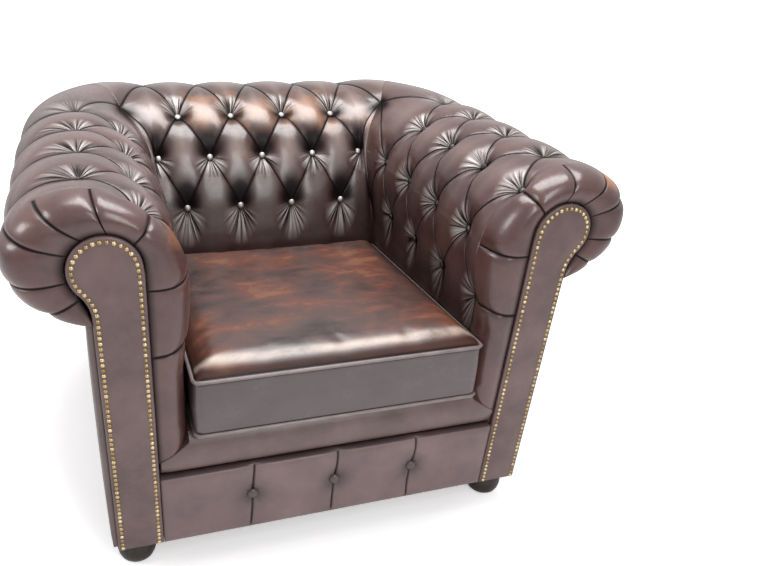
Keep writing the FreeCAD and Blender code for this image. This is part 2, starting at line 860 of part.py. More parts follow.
def seat_parts():
    half = float(LINING_X) - 3
    web = float(WEB_TOP)
    seam = float(base_seam_height)
    rail = float(FRONT_RAIL_Y)
    front = float(FACING) - 2
    back = front + float(lip_depth)
    rear = back_lining(0)[0] - 25
    top = seat_plane(back)
    nose = (top - seam) * 0.38
    start = V(-half, rail, web)
    corner = [V(-half, rail, seam), V(-half, front + 6, seam), V(-half, front, seam + nose / 2),
              V(-half, front + 1, top - nose), V(-half, front + nose * 0.35, top - nose * 0.25),
              V(-half, front + nose, seat_plane(front + nose)), V(-half, back, top), V(-half, back, web)]
    edges = [Part.LineSegment(start, corner[0]), Part.LineSegment(corner[0], corner[1]),
             Part.LineSegment(corner[1], corner[2]), Part.LineSegment(corner[2], corner[3]),
             Part.Arc(corner[3], corner[4], corner[5]), Part.LineSegment(corner[5], corner[6]),
             Part.LineSegment(corner[6], corner[7]), Part.LineSegment(corner[7], start)]
    outline = Part.Wire([edge.toShape() for edge in edges])
    lip = Part.Face(outline).extrude(V(2 * half, 0, 0))
    feature("front_lip", lip.common(under_arms(front - 5, back + 5)))
    side = [(-half, back, web), (-half, rear, web), (-half, rear, seat_plane(rear)), (-half, back, top)]
    platform = prism(side, (2 * half, 0, 0))
    feature("seat_platform", platform.common(under_arms(back - 5, rear + 5)))


def base_panel():
    """Padded panel below the seat, drawn in at three buttons with a pleat through each."""
    half = float(LINING_X) - 3
    back = float(FRONT_RAIL_Y)
    front = float(FACING) - 3
    low, high = float(foot_height), float(base_seam_height)
    pitch = float(base_pitch)
    bays = [-half, -pitch, 0.0, pitch, half]
    xs = [blend(a, b, i / 5) for a, b in zip(bays, bays[1:]) for i in range(5)] + [half]
    zs = [blend(low, high, i / 8) for i in range(9)]
    mid = zs[4]
    skin = Skin()

    def surface(x, z):
        edge = min(x + half, half - x, z - low, high - z)
        rim = 5.0 * max(1 - edge / 22, 0) ** 2
        pleat = min(abs(x - k * pitch) for k in (-1, 0, 1))
        line = 5.0 * max(1 - pleat / 30, 0) ** 1.5 * min(edge / 18, 1)
        reach = min(math.hypot(x - k * pitch, z - mid) for k in (-1, 0, 1))
        dimple = 3.0 * max(1 - reach / 30, 0)
        return x, min(front + rim + line + dimple, back - 1), z

    grid = [[surface(x, z) for z in zs] for x in xs]
    for i in range(len(xs) - 1):
        for j in range(len(zs) - 1):
            skin.quad(grid[i][j], grid[i + 1][j], grid[i + 1][j + 1], grid[i][j + 1], (i + j) % 2 == 0)
    ends = [(-half, back, low), (half, back, low), (half, back, high), (-half, back, high)]
    skin.quad(ends[3], ends[2], ends[1], ends[0], True)
    lower = [column[0] for column in grid]
    upper = [column[-1] for column in reversed(grid)]
    rims = (lower, grid[-1], upper, grid[0][::-1])
    for k, rim in enumerate(rims):
        near, far = ends[k], ends[(k + 1) % 4]
        for a, b in zip(rim, rim[1:]):
            skin.tri(b, a, near)
        skin.tri(rim[-1], near, far)
    feature("base_panel", skin.solid())
    places = [surface(k * pitch, mid) for k in (-1, 0, 1)]
    group("base_buttons", [button(p, (0, -1, 0), base_button_diameter, button_seat, 0.5) for p in places])


webbing()
seat_parts()
base_panel()


# Loose cushion, made level and then laid on the sloping seat
PIPE = piping_diameter.value / 2
SEAT_ANGLE = math.degrees(math.atan(float(seat_slope)))
cushion_front = V(float(cushion_shift), float(FRONT) - PIPE * math.sin(math.radians(SEAT_ANGLE)),
                  float(seat_front_height) + clearance.value)
cushion_place = FreeCAD.Placement(cushion_front, FreeCAD.Rotation(V(1, 0, 0), -SEAT_ANGLE))


def cushion_rim(inset):
    """Rounded outline of the cushion, drawn in by inset, as corner points in order."""
    half = float(cushion_width) / 2
    length = float(cushion_length)
    r = float(cushion_corner)
    points = []
    near, far = half - r, length - r
    corners = ((near, r, -90), (near, far, 0), (-near, far, 90), (-near, r, 180))
    for k, (x, y, start) in enumerate(corners):
        for i in range(5):
            a = math.radians(start + 22.5 * i)
            points.append((x + (r - inset) * math.cos(a), y + (r - inset) * math.sin(a)))
        nx, ny, nstart = corners[(k + 1) % 4]
        a = math.radians(nstart)
        end = (nx + (r - inset) * math.cos(a), ny + (r - inset) * math.sin(a))
        last = points[-1]
        points += [(blend(last[0], end[0], i / 5), blend(last[1], end[1], i / 5)) for i in range(1, 5)]
    return points


def cushion_cover():
    thick = float(cushion_thickness)
    length = float(cushion_length)
    notch = 2 * PIPE + clearance.value
    levels = [(notch, 0.0), (notch, notch), (3.0, notch), (0.8, thick * 0.3), (0.8, thick * 0.65),
              (3.0, thick - notch), (notch, thick - notch), (notch, thick)]
    rings = [[(x, y, z) for x, y in cushion_rim(inset)] for inset, z in levels]
    rim = cushion_rim(notch)
    for share in (0.94, 0.85, 0.7, 0.5, 0.25):
        rise = float(cushion_crown) * (1 - share ** 2.6) ** 0.85
        rings.append([(x * share, length / 2 + (y - length / 2) * share, thick + rise) for x, y in rim])
    skin = Skin()
    count = len(rim)
    for a, b in zip(rings, rings[1:]):
        for i in range(count):
            j = (i + 1) % count
            skin.quad(a[i], a[j], b[j], b[i], True)
    for i in range(count):
        j = (i + 1) % count
        skin.tri((0, length / 2, 0.0), rings[0][j], rings[0][i])
        skin.tri(rings[-1][i], rings[-1][j], (0, length / 2, thick + float(cushion_crown)))
    return skin.solid()


def piping(label, height):
    """Covered cord sewn round one edge of the cushion."""
    count = 6
    skin = Skin()
    tube = []
    for k in range(count):
        a = 2 * math.pi * k / count
        rim = cushion_rim(PIPE + PIPE * math.cos(a))
        tube.append([(x, y, height + PIPE * math.sin(a)) for x, y in rim])
    length = len(tube[0])
    for k in range(count):
        near, far = tube[k], tube[(k + 1) % count]
        for i in range(length):
            j = (i + 1) % length
            skin.quad(near[i], near[j], far[j], far[i], True)
    put(label, skin.solid())


def put(label, shape):
    obj = feature(label, shape)
    obj.Placement = cushion_place


def cushion():
    thick = float(cushion_thickness)
    length = float(cushion_length)
    half = float(cushion_width) / 2
    wall = 20.0
    core = Part.makeBox(2 * (half - wall), length - 2 * wall, thick - wall, V(-half + wall, wall, wall / 2))
    put("cushion_cover", cushion_cover().cut(core))
    put("cushion_core", core)
    piping("piping_bottom", PIPE)
    piping("piping_top", thick - PIPE)
    tape = Part.makeBox(float(zip_length), 1.6, 12, V(-float(zip_length) / 2, length - 0.7, thick / 2 - 6))
    put("zip", tape)
    body = Part.makeBox(9, 3.2, 7, V(-float(zip_length) / 2 + 2, length + 1.2, thick / 2 - 3.5))
    pull = Part.makeBox(24, 1.4, 4.5, V(-float(zip_length) / 2 + 8, length + 4.4, thick / 2 - 2.25))
    put("zip_slider", body.fuse(pull))


cushion()


# Feet
def foot_places():
    x = float(SIDE_RAIL_OUT) + float(post_width) / 2
    return {"front": (x, float(post_front) + float(post_width) / 2),
            "rear": (x, float(post_rear) + float(post_width) / 2)}


FOOT_SIDES = 24
BOLT_DEPTH = 0.6               # share of the foot that the bolt runs through


def foot_shape(x, y):
    """Turned bun foot with the hole for its bolt."""
    r = foot_diameter.value / 2
    top = foot_height.value
    bore = bolt_diameter.value / 2 + 2 * clearance.value
    bun = [(0.62, 0), (0.8, 0.05), (0.93, 0.16), (1, 0.34), (0.99, 0.5), (0.9, 0.66), (0.7, 0.78),
           (0.64, 0.82), (0.74, 0.86), (0.74, 1)]
    hole = top * (1 - BOLT_DEPTH)
    profile = [(0, 0)] + [(r * a, top * b) for a, b in bun] + [(bore, top), (bore, hole), (0, hole)]
    solid = turned(profile, FOOT_SIDES)
    solid.translate(V(x, y, 0))
    return solid


def feet():
    r = bolt_diameter.value / 2
    low = foot_height.value * (1 - BOLT_DEPTH) + clearance.value
    high = foot_height.value * 1.5
    bolts = []
    for word, (x, y) in foot_places().items():
        group("feet_" + word, [foot_shape(side * x, y) for side in (-1, 1)])
        for side in (-1, 1):
            bolts.append(Part.makeCylinder(r, high - low, V(side * x, y, low)))
    group("foot_bolts", bolts)


feet()

# Check and write
doc.recompute()
for obj in doc.Objects:
    if "Invalid" in obj.State or "Error" in obj.State:
        raise SystemExit("failed: " + obj.Label)
for obj in made:
    if obj.Shape.isNull() or not obj.Shape.isValid():
        raise SystemExit("bad shape: " + obj.Label)
for obj in made:
    obj.Shape.exportStep("parts/" + obj.Label + ".step")
print(len(made), "pieces")
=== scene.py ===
import math

import bmesh
import bpy
import numpy as np
from mathutils import Matrix, Vector


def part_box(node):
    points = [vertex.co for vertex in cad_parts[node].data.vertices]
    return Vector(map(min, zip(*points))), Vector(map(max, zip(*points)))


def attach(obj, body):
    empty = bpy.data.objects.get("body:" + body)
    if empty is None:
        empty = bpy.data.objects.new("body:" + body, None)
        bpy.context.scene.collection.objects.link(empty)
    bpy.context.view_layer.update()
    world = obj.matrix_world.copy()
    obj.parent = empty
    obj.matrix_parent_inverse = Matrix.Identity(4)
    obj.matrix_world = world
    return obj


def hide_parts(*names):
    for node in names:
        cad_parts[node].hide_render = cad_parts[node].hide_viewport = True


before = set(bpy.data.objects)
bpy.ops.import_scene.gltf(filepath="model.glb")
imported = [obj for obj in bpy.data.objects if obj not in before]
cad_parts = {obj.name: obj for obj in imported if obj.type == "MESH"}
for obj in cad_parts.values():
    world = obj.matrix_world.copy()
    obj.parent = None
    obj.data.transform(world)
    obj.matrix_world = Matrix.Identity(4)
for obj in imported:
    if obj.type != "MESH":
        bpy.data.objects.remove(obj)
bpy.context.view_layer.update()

# Seat frame: sawn beech rails, posts and glue blocks, screwed and glued. Only its joints and end
# grain show when the chair is turned over or its cushion is out.
MM = 0.001
SIDES = (("right", 1), ("left", -1))


class Nodes:
    """A node tree, with calls that add a node, feed it and hand back its output."""

    def __init__(self, tree, owner=None):
        self.tree, self.owner = tree, owner
        self.shader = tree.nodes.get("Principled BSDF")

    def join(self, value, socket):
        """Feed a socket from another node, or with a colour or a plain value."""
        if isinstance(value, bpy.types.NodeSocket):
            self.tree.links.new(value, socket)
        else:
            socket.default_value = (*value, 1) if isinstance(value, tuple) else value

    def node(self, kind, feeds=(), **settings):
        node = self.tree.nodes.new(kind)
        for title, value in settings.items():
            setattr(node, title, value)
        for title, value in dict(feeds).items():
            self.join(value, node.inputs[title])
        return node

    def feed(self, **values):
        """Feed the surface shader, with _ for the spaces in its inputs' names."""
        for title, value in values.items():
            self.join(value, self.shader.inputs[title.replace("_", " ")])
        return self.owner

    def place(self, *scale):
        """Object coordinates, stretched."""
        place = self.node("ShaderNodeTexCoord").outputs["Object"]
        mapping = self.node("ShaderNodeMapping", {"Vector": place})
        mapping.inputs["Scale"].default_value = scale or (1, 1, 1)
        return mapping.outputs["Vector"]

    def noise(self, vector, scale, detail=4, roughness=0.55, distortion=0.0):
        feeds = {"Vector": vector, "Scale": scale, "Detail": detail, "Roughness": roughness,
                 "Distortion": distortion}
        return self.node("ShaderNodeTexNoise", feeds).outputs["Fac"]

    def ramp(self, value, *stops):
        """Colours along a value, as (place, colour) pairs."""
        node = self.node("ShaderNodeValToRGB", {"Fac": value})
        while len(node.color_ramp.elements) < len(stops):
            node.color_ramp.elements.new(0.5)
        for element, (at, colour) in zip(node.color_ramp.elements, stops):
            element.position = at
            element.color = (*colour, 1)
        return node.outputs["Color"]

    def level(self, value, low, high, to_low=0.0, to_high=1.0):
        """A value stretched from one range to another and held at its ends."""
        feeds = {"Value": value, "From Min": low, "From Max": high, "To Min": to_low, "To Max": to_high}
        return self.node("ShaderNodeMapRange", feeds).outputs["Result"]

    def bump(self, height, strength, distance, normal=None):
        feeds = {"Height": height, "Strength": strength, "Distance": distance}
        if normal is not None:
            feeds["Normal"] = normal
        return self.node("ShaderNodeBump", feeds).outputs["Normal"]

    def value(self, name):
        """A value that the mesh carries."""
        return self.node("ShaderNodeAttribute", attribute_name=name).outputs["Fac"]

    def calc(self, operation, *values):
        return self.node("ShaderNodeMath", enumerate(values), operation=operation).outputs[0]

    def times(self, first, *others):
        for other in others:
            first = self.calc("MULTIPLY", first, other)
        return first

    def tinted(self, amount, under, over):
        """One colour over another."""
        feeds = {"Factor": amount, "A": under, "B": over}
        return self.node("ShaderNodeMix", feeds, data_type="RGBA").outputs["Result"]


def new_material(name):
    material = bpy.data.materials.new(name)
    material.use_nodes = True
    return Nodes(material.node_tree, material)


def keep_solid(names, material):
    """A rigid CAD piece stays as it is and gets its real finish."""
    for name in names:
        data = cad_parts[name].data
        data.materials.clear()
        data.materials.append(material)


def wood_finish(name, dark, light, stretch, rough):
    n = new_material(name)
    rings = n.noise(n.place(*stretch), 1.0, detail=6, distortion=1.2)
    return n.feed(Base_Color=n.ramp(rings, (0.3, dark), (0.7, light)),
                  Roughness=n.level(rings, 0.3, 0.7, rough + 0.1, rough), Normal=n.bump(rings, 0.3, 0.0006))


for beech, stretch, pieces, side_pieces in (
        ("upright_beech", (60, 60, 3), ["back_uprights", "corner_blocks"],
         ["front_post_", "rear_post_", "scroll_board_"]),
        ("cross_beech", (3, 60, 60), ["front_rail", "rear_rail", "back_rail", "back_tack_rail"], []),
        ("long_beech", (60, 3, 60), [], ["side_rail_", "arm_rail_", "arm_tack_rail_"])):
    pieces += [piece + side for piece in side_pieces for side, mirror in SIDES]
    keep_solid(pieces, wood_finish(beech, (0.36, 0.22, 0.12), (0.6, 0.42, 0.26), stretch, 0.6))

# Seat webbing and cloths: elastic straps in two layers, a black dust cloth stapled under the
# frame, and a dark lining cloth over the platform foam that the cushion lies on.


def cloth_finish(name, colour, light, threads, rough):
    """Plain woven cloth, from two sets of threads."""
    n = new_material(name)
    feeds = {"Vector": n.place(), "Scale": threads, "Distortion": 0.6}
    waves = [n.node("ShaderNodeTexWave", feeds, bands_direction=axis).outputs["Fac"] for axis in "XY"]
    weave = n.times(*waves)
    return n.feed(Base_Color=n.ramp(weave, (0.0, colour), (0.8, light)), Roughness=rough,
                  Normal=n.bump(weave, 0.5, 0.0005))


strap_cloth = cloth_finish("strap_cloth", (0.16, 0.12, 0.08), (0.34, 0.28, 0.2), 130, 0.85)
keep_solid(["webbing_long", "webbing_cross"], strap_cloth)
keep_solid(["under_cloth"], cloth_finish("dust_cloth", (0.008, 0.008, 0.01), (0.03, 0.03, 0.033), 220, 0.9))
lining_cloth = cloth_finish("lining_cloth", (0.03, 0.018, 0.014), (0.07, 0.045, 0.036), 200, 0.85)
keep_solid(["seat_platform"], lining_cloth)

# Bun feet: turned hardwood, dark stained and waxed, each held by a zinc-plated hanger bolt in
# the end grain of its post.
FOOT_HEIGHT, FOOT_RADIUS, FOOT_SIDES = 0.067, 0.036, 48
FOOT_X, FOOT_FRONT_Y, FOOT_REAR_Y = 0.369, -0.397, 0.315
FOOT_PROFILE = [(0, 0), (0.56, 0), (0.62, 0.006), (0.74, 0.03), (0.87, 0.1), (0.96, 0.22), (1, 0.36),
                (0.985, 0.5), (0.92, 0.62), (0.8, 0.72), (0.69, 0.785), (0.66, 0.81), (0.71, 0.84),
                (0.745, 0.86), (0.745, 0.995), (0.73, 1), (0, 1)]


def mesh_object(name, points, faces, smooth=True):
    """An object at the origin from points in metres and faces."""
    data = bpy.data.meshes.new(name)
    data.from_pydata([tuple(p) for p in points], [], [tuple(int(v) for v in face) for face in faces])
    data.validate()
    for polygon in data.polygons:
        polygon.use_smooth = smooth
    obj = bpy.data.objects.new(name, data)
    bpy.context.scene.collection.objects.link(obj)
    return obj


def mark(obj, **marks):
    """Store values for the material on the mesh's points."""
    for name, values in marks.items():
        layer = obj.data.attributes.new(name, "FLOAT", "POINT")
        layer.data.foreach_set("value", np.asarray(values, np.float32).reshape(-1))


def face_outwards(obj):
    """Merge doubled points and turn every face out."""
    cleaner = bmesh.new()
    cleaner.from_mesh(obj.data)
    bmesh.ops.remove_doubles(cleaner, verts=cleaner.verts, dist=1e-6)
    bmesh.ops.recalc_face_normals(cleaner, faces=cleaner.faces)
    cleaner.to_mesh(obj.data)
    cleaner.free()


def solid_object(name, points, faces, **marks):
    obj = mesh_object(name, points, faces)
    mark(obj, **marks)
    face_outwards(obj)
    return obj


def ring_faces(rings, count, closed=False, lids=True):
    """Faces between rings of points that follow one another."""
    faces = []
    for ring in range(rings if closed else rings - 1):
        low, high = ring * count, (ring + 1) % rings * count
        for i in range(count):
            j = (i + 1) % count
            faces.append((low + i, low + j, high + j, high + i))
    if lids and not closed:
        faces += [range(count), range((rings - 1) * count, rings * count)]
    return faces


def finish_piece(obj, material, body, slot, *nodes):
    """Give a piece its material and body, and hide the CAD solids that it stands for."""
    obj.data.materials.clear()
    obj.data.materials.append(material)
    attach(obj, body)
    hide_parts(*nodes)


foot_wood = wood_finish("foot_wood", (0.006, 0.004, 0.003), (0.03, 0.017, 0.011), (50, 50, 6), 0.28)
foot_turns = [2 * math.pi * i / FOOT_SIDES for i in range(FOOT_SIDES)]
for name, y in (("feet_front", FOOT_FRONT_Y), ("feet_rear", FOOT_REAR_Y)):
    points = [(x + r * FOOT_RADIUS * math.cos(a), y + r * FOOT_RADIUS * math.sin(a), z * FOOT_HEIGHT)
              for x in (-FOOT_X, FOOT_X) for r, z in FOOT_PROFILE for a in foot_turns]
    faces = ring_faces(len(FOOT_PROFILE), FOOT_SIDES, lids=False)
    faces += [[k + len(points) // 2 for k in face] for face in faces]
    finish_piece(solid_object(name + "_turned", points, faces), foot_wood, "chair", "dark_wood", name)


def metal_finish(name, dark, light, rough, scratch):
    n = new_material(name)
    wear = n.noise(n.place(), scratch, detail=5)
    return n.feed(Base_Color=n.ramp(wear, (0.32, dark), (0.68, light)), Metallic=1.0,
                  Roughness=n.level(wear, 0.3, 0.7, rough + 0.18, rough), Normal=n.bump(wear, 0.15, 0.0002))


keep_solid(["foot_bolts"], metal_finish("zinc", (0.35, 0.35, 0.36), (0.62, 0.62, 0.6), 0.35, 300))

# Arms and back: leather laid over hair and wadding and drawn down by buttons into deep diamonds,
# with the fullness folded into pleats. The rolls are pleated over the top and tacked underneath,
# and a gathered border rounds each arm's front to the nailed facing. Lengths are in mm.
HEIGHT, BACK_ROOF, BACK_DROOP = 728.0, 720.0, 10.0
TACK_Z, ARM_BUTTON_Z, SHOULDER, ROLL_MID, UNDERSIDE = 283.0, 478.0, 572.0, 632.0, 530.0
ARM_FACE, ARM_LEAN, LEAN_Z = 269.5, 16.5, 428.0
ARM_REACH, ROLL_REACH, ROLL_TUCK = 149.0, 117.7, 0.3
BACK_MIDDLE, BACK_REACH, BACK_Y, BACK_UNDER_Y, BACK_REAR = 403.0, 250.0, 355.0, 342.3, 460.0
BACK_TURNS = (15, 37, 59, 90)  # degrees up the back's curve at rows 1 to 4
CORNER_ROUND = 75.0
SCROLL_Z, SCROLL_R, SCROLL_LOW, SCROLL_BEND = 623.0, 55.0, 251.0, 466.0
PANEL_X, PANEL_Y, LINING_X, LINING_Y, LINING_RAKE = 402.0, 342.0, 322.0, 262.0, 97.0
BUTTON_DEPTH, LOW_DEPTH, PLEAT_DEPTH = 24.0, 12.0, 8.0
TUFT_DEPTH = 14.0  # where the folds meet over an arm's roll
RING_START, RING_DEPTH = -386.0, 64.0
ARM_HALF, ARM_BLOCKS = 65.25, 7
BACK_HALF, BACK_BLOCKS = 61.15, 4
LAST_ROW = 6
ROW_RISE = 92.0  # distance from one button row to the next
FINE_ROWS = 40  # steps from one button row to the next
FINE_COLUMNS = 26  # steps in half a button pitch
FINE_CORNER = 40
FINE_RING = 26
RING_PLEATS = (1, 2, 2.95, 3.85, 4.35, 4.7, 5.2, 5.6)
# Near-black painted shade for the folds and hollows, and a pale painted highlight for the ridges of the fold
# fans.
RECESS_SHADE, FOLD_HIGHLIGHT = (0.005, 0.003, 0.0035), (0.62, 0.55, 0.52)
# A paler tone for the pillows' tops that is rubbed leather and painted sheen both, and tan rub-off.
WEAR_AND_SHEEN, TAN = (0.34, 0.25, 0.225), (0.42, 0.17, 0.06)
ARM_WEAR = {"right": ((0.47, -0.42, 0.71), (0.03, 0.04, 0.03), 0.5),
            "left": ((-0.285, -0.4, 0.65), (0.035, 0.045, 0.03), 0.6)}
BACK_WEAR = ((0, 0.2, 0.68), (0.35, 0.12, 0.09), 0.42)


def between(a, b, t):
    return a + (b - a) * t


def arm_crest(s):
    """Crest of the arm's section at row s: distance across the chair, and height."""
    if s <= 2:
        z = between(TACK_Z, ARM_BUTTON_Z, s) if s <= 1 else between(ARM_BUTTON_Z, SHOULDER + 16, s - 1)
        lean = min(max((z - LEAN_Z) / (SHOULDER - LEAN_Z), 0), 1)
        return ARM_FACE - ARM_LEAN * math.sin(lean * math.pi / 2), z
    if s <= 4:
        a = math.radians(between(6, 52, s - 2) if s <= 3 else between(52, 90, s - 3))
        return PANEL_X - ARM_REACH * math.cos(a), SHOULDER + (HEIGHT - SHOULDER) * math.sin(a)
    a = math.radians(90 * (5 - s))
    drop = HEIGHT - ROLL_MID if s <= 5 else ROLL_MID - UNDERSIDE
    return PANEL_X + ROLL_TUCK + ROLL_REACH * math.cos(a), ROLL_MID + drop * math.sin(a)


def back_crest(s):
    """Crest of the back's section at row s: distance to the rear, and height."""
    rise = BACK_ROOF - BACK_MIDDLE
    if s <= 1:
        z = between(TACK_Z, BACK_MIDDLE + rise * math.sin(math.radians(BACK_TURNS[0])), s)
        lean = max(z - BACK_MIDDLE, 0) / rise
        return BACK_Y - BACK_REACH * math.sqrt(1 - lean * lean), z
    if s <= 4:
        i = min(int(s) - 1, 2)
        a = math.radians(between(BACK_TURNS[i], BACK_TURNS[i + 1], s - 1 - i))
        return (BACK_Y - BACK_REACH * math.cos(a),
                BACK_MIDDLE + rise * math.sin(a) - BACK_DROOP * max(s - 3, 0))
    a = math.radians(90 * (5 - s))
    drop = BACK_ROOF - BACK_DROOP - ROLL_MID if s <= 5 else ROLL_MID - UNDERSIDE
    near = BACK_Y if s <= 5 else BACK_UNDER_Y
    return near + (BACK_REAR - near) * math.cos(a), ROLL_MID + drop * math.sin(a)


def scroll_lining(s, stem, end, low):
    """Outline of the frame's scroll, under the padding, at row s."""
    centre, neck = stem + SCROLL_R, SCROLL_Z - 40
    if s <= 2:
        return between(low, stem, s / 2), float(np.interp(s, (0, 1, 2), (SCROLL_LOW, SCROLL_BEND, neck)))
    if s <= 2.5:
        return stem, between(neck, SCROLL_Z, (s - 2) * 2)
    a = math.radians(float(np.interp(s, (2.5, 3, 4, 5, 5.5), (180, 135, 90, 0, -40))))
    x, z = centre + SCROLL_R * math.cos(a), SCROLL_Z + SCROLL_R * math.sin(a)
    t = max(s - 5.5, 0) * 2
    return between(x, end, t), between(z, UNDERSIDE + 14, t)


def section_table(crest, rows):
    """Crest points and outward normals of a section at each row, smoothed along it."""
    ahead = np.array([crest(min(s + 0.06, LAST_ROW)) for s in rows])
    behind = np.array([crest(max(s - 0.06, 0)) for s in rows])
    along = ahead - behind
    along /= np.linalg.norm(along, axis=1)[:, None]
    return np.array([crest(s) for s in rows]), np.stack([-along[:, 1], along[:, 0]], axis=1)


def quilt(u, s, half, along):
    """Depth of the quilting in mm, and how much painted shade its hollows get, from 0 to 1.

    Buttons sit where u + s is even. Their folds fan out along the row (along = 1) or down it (0)."""
    p, q = (u + s) / 2, (u - s) / 2
    near_p, near_q = np.round(p), np.round(q)
    row = near_p - near_q
    across = (p - near_p + q - near_q) * half
    rise = (p - near_p - q + near_q) * ROW_RISE
    reach = np.hypot(across, rise)
    buttoned = (row > 0.5) & (row < 3.5 + along)
    window = np.abs(np.cos(np.pi * p) * np.cos(np.pi * q)) ** 1.5
    dimple = np.where(buttoned, window / (1 + (reach / 17) ** 1.7), 0)
    held = np.clip(s, 1, 4)
    pillow = np.abs(np.sin(np.pi * (u + held) / 2) * np.sin(np.pi * (u - held) / 2)) ** 0.4
    fade = np.interp(s, [0.4, 1, 2, 4, LAST_ROW], [0, 0.35, 1, 1, 0.5])
    deepest = np.select([row < 1.5, row < 3.5], [LOW_DEPTH, BUTTON_DEPTH], TUFT_DEPTH)
    depth = deepest * dimple + PLEAT_DEPTH * fade * (1 - pillow) * (1 - dimple)
    turn = np.arctan2(rise, across)
    side = np.cos(turn) if along else np.sin(turn) * np.where(row > 2.5, 1, -1)
    spread = np.where(buttoned, np.clip(side + 0.3, 0, 1) * np.exp(-((reach - 20) / 15) ** 2), 0)
    depth += 0.9 * spread * np.sin(13 * turn + 5 * near_p + 3 * near_q)
    # Painted shade: a dark blot round each button, reaching up above those of rows 1 and 2 on the back and
    # lighter where the folds fan out, and a darker tone along the pleats.
    if along:
        blot = (across / 18) ** 2 + (rise / 26) ** 2
    else:
        blot = np.where(row > 2.5, (across / 32) ** 2 + (rise / 22) ** 2,
                        (across / 36) ** 2 + ((rise - 16) / 44) ** 2)
    hollow = np.where(buttoned, np.exp(-blot ** 1.3) * window ** 0.05 * (1 - 0.85 * spread), 0)
    return depth, np.maximum(hollow, 0.5 * fade * np.clip(1 - pillow * 1.6, 0, 1))


def corner_pull(s):
    """How far the rounded rear corner of the roll lies inside a square one."""
    if s <= 3:
        return 0.0
    return CORNER_ROUND * (math.sin(math.pi * (s - 3) / 4) if s <= 5 else math.cos(math.pi * (s - 5) / 2))


def mitre(s):
    """Where the arm's and the back's sections meet in the corner."""
    (x, arm_z), (y, back_z), pull = arm_crest(s), back_crest(s), corner_pull(s)
    return x - pull, y - pull, (arm_z + back_z) / 2


def grid_faces(index):
    """Quads between the columns and rows of a grid of point numbers."""
    return np.stack([index[:-1, :-1], index[1:, :-1], index[1:, 1:], index[:-1, 1:]], axis=-1).reshape(-1, 4)


def closed_grid(name, grid, lining, marks):
    """A padded piece from its outer grid of columns and rows, closed along its lining edges."""
    columns, height = grid.shape[:2]
    index = np.arange(columns * height).reshape(columns, height)
    near = columns * height + np.arange(height)
    far = near + height
    walls = [np.stack(pair, axis=1) for pair in ((near, far), (index[0], near), (index[-1], far))]
    faces = np.concatenate([grid_faces(sheet) for sheet in [index] + walls]).tolist()
    faces += [[*index[:, end], far[end], near[end]] for end in (0, -1)]
    points = np.concatenate([grid.reshape(-1, 3), lining.reshape(-1, 3)]) * MM
    unmarked = np.zeros(2 * height)
    return solid_object(name, points, faces, **{title: np.append(v, unmarked) for title, v in marks.items()})


def late(a, b, t):
    """From a to b, turning late, to round the corner of the roll."""
    return a + (b - a) * t ** 3


rows = np.arange(LAST_ROW * FINE_ROWS + 1) / FINE_ROWS
arm_section, arm_normal = section_table(arm_crest, rows)
back_section, back_normal = section_table(back_crest, rows)
square_mitre = np.array([mitre(s) for s in rows])
arm_inner = np.array([scroll_lining(s, LINING_X, PANEL_X + 0.9, LINING_X) for s in rows])
back_inner = np.array([scroll_lining(s, LINING_Y, PANEL_Y + 0.9, LINING_Y - LINING_RAKE) for s in rows])
lining_mitre = np.column_stack([arm_inner[:, 0], back_inner[:, 0], (arm_inner[:, 1] + back_inner[:, 1]) / 2])


def ring_grid():
    """Columns of the gathered border, from the facing to the start of the arm, and its pleats."""
    nearest = np.min([np.abs(rows - p) for p in RING_PLEATS], axis=0) * ROW_RISE
    reach = np.maximum(np.hypot(*(arm_section - arm_inner).T), 1)
    ring = []
    for t in np.sin(np.arange(FINE_RING, 0, -1) / FINE_RING * math.pi / 2):
        bulge = math.sin(t * math.pi)
        groove = 4.0 * np.exp(-(nearest / 3.4) ** 1.4) * bulge ** 0.6
        plump = 3.0 * bulge * np.clip(nearest / 14, 0, 1)
        share = math.cos(t * math.pi / 2) ** 0.75 * (1 - (groove - plump) / reach)
        start = between(arm_section, arm_surface[0][:, (0, 2)], max(1 - t * 5, 0))
        spot = arm_inner + (start - arm_inner) * share[:, None]
        deep = RING_START - RING_DEPTH * math.sin(t * math.pi * 0.62) + groove * 0.5
        ring.append(np.stack([spot[:, 0], deep, spot[:, 1]], axis=-1))
    return np.array(ring), nearest


def arm_grid():
    """Right arm as columns from its border to the rear corner: points, columns and painted shade."""
    straight = np.arange(0, ARM_BLOCKS * FINE_COLUMNS) / FINE_COLUMNS
    corner = ARM_BLOCKS + np.arange(FINE_CORNER + 1) / FINE_CORNER
    u = np.concatenate([straight, corner])[:, None]
    depth, hollow = quilt(u + 1, rows, ARM_HALF, 1)
    t = np.clip(u - ARM_BLOCKS, 0, 1)
    depth = depth * (1 - t)
    x = late(arm_section[:, 0], square_mitre[:, 0], t) - arm_normal[:, 0] * depth
    y = between(RING_START + np.minimum(u, ARM_BLOCKS) * ARM_HALF, square_mitre[:, 1], t)
    z = between(arm_section[:, 1], square_mitre[:, 2], t) - arm_normal[:, 1] * depth
    return np.stack([x, y, z], axis=-1), np.broadcast_to(u + 1, depth.shape), hollow


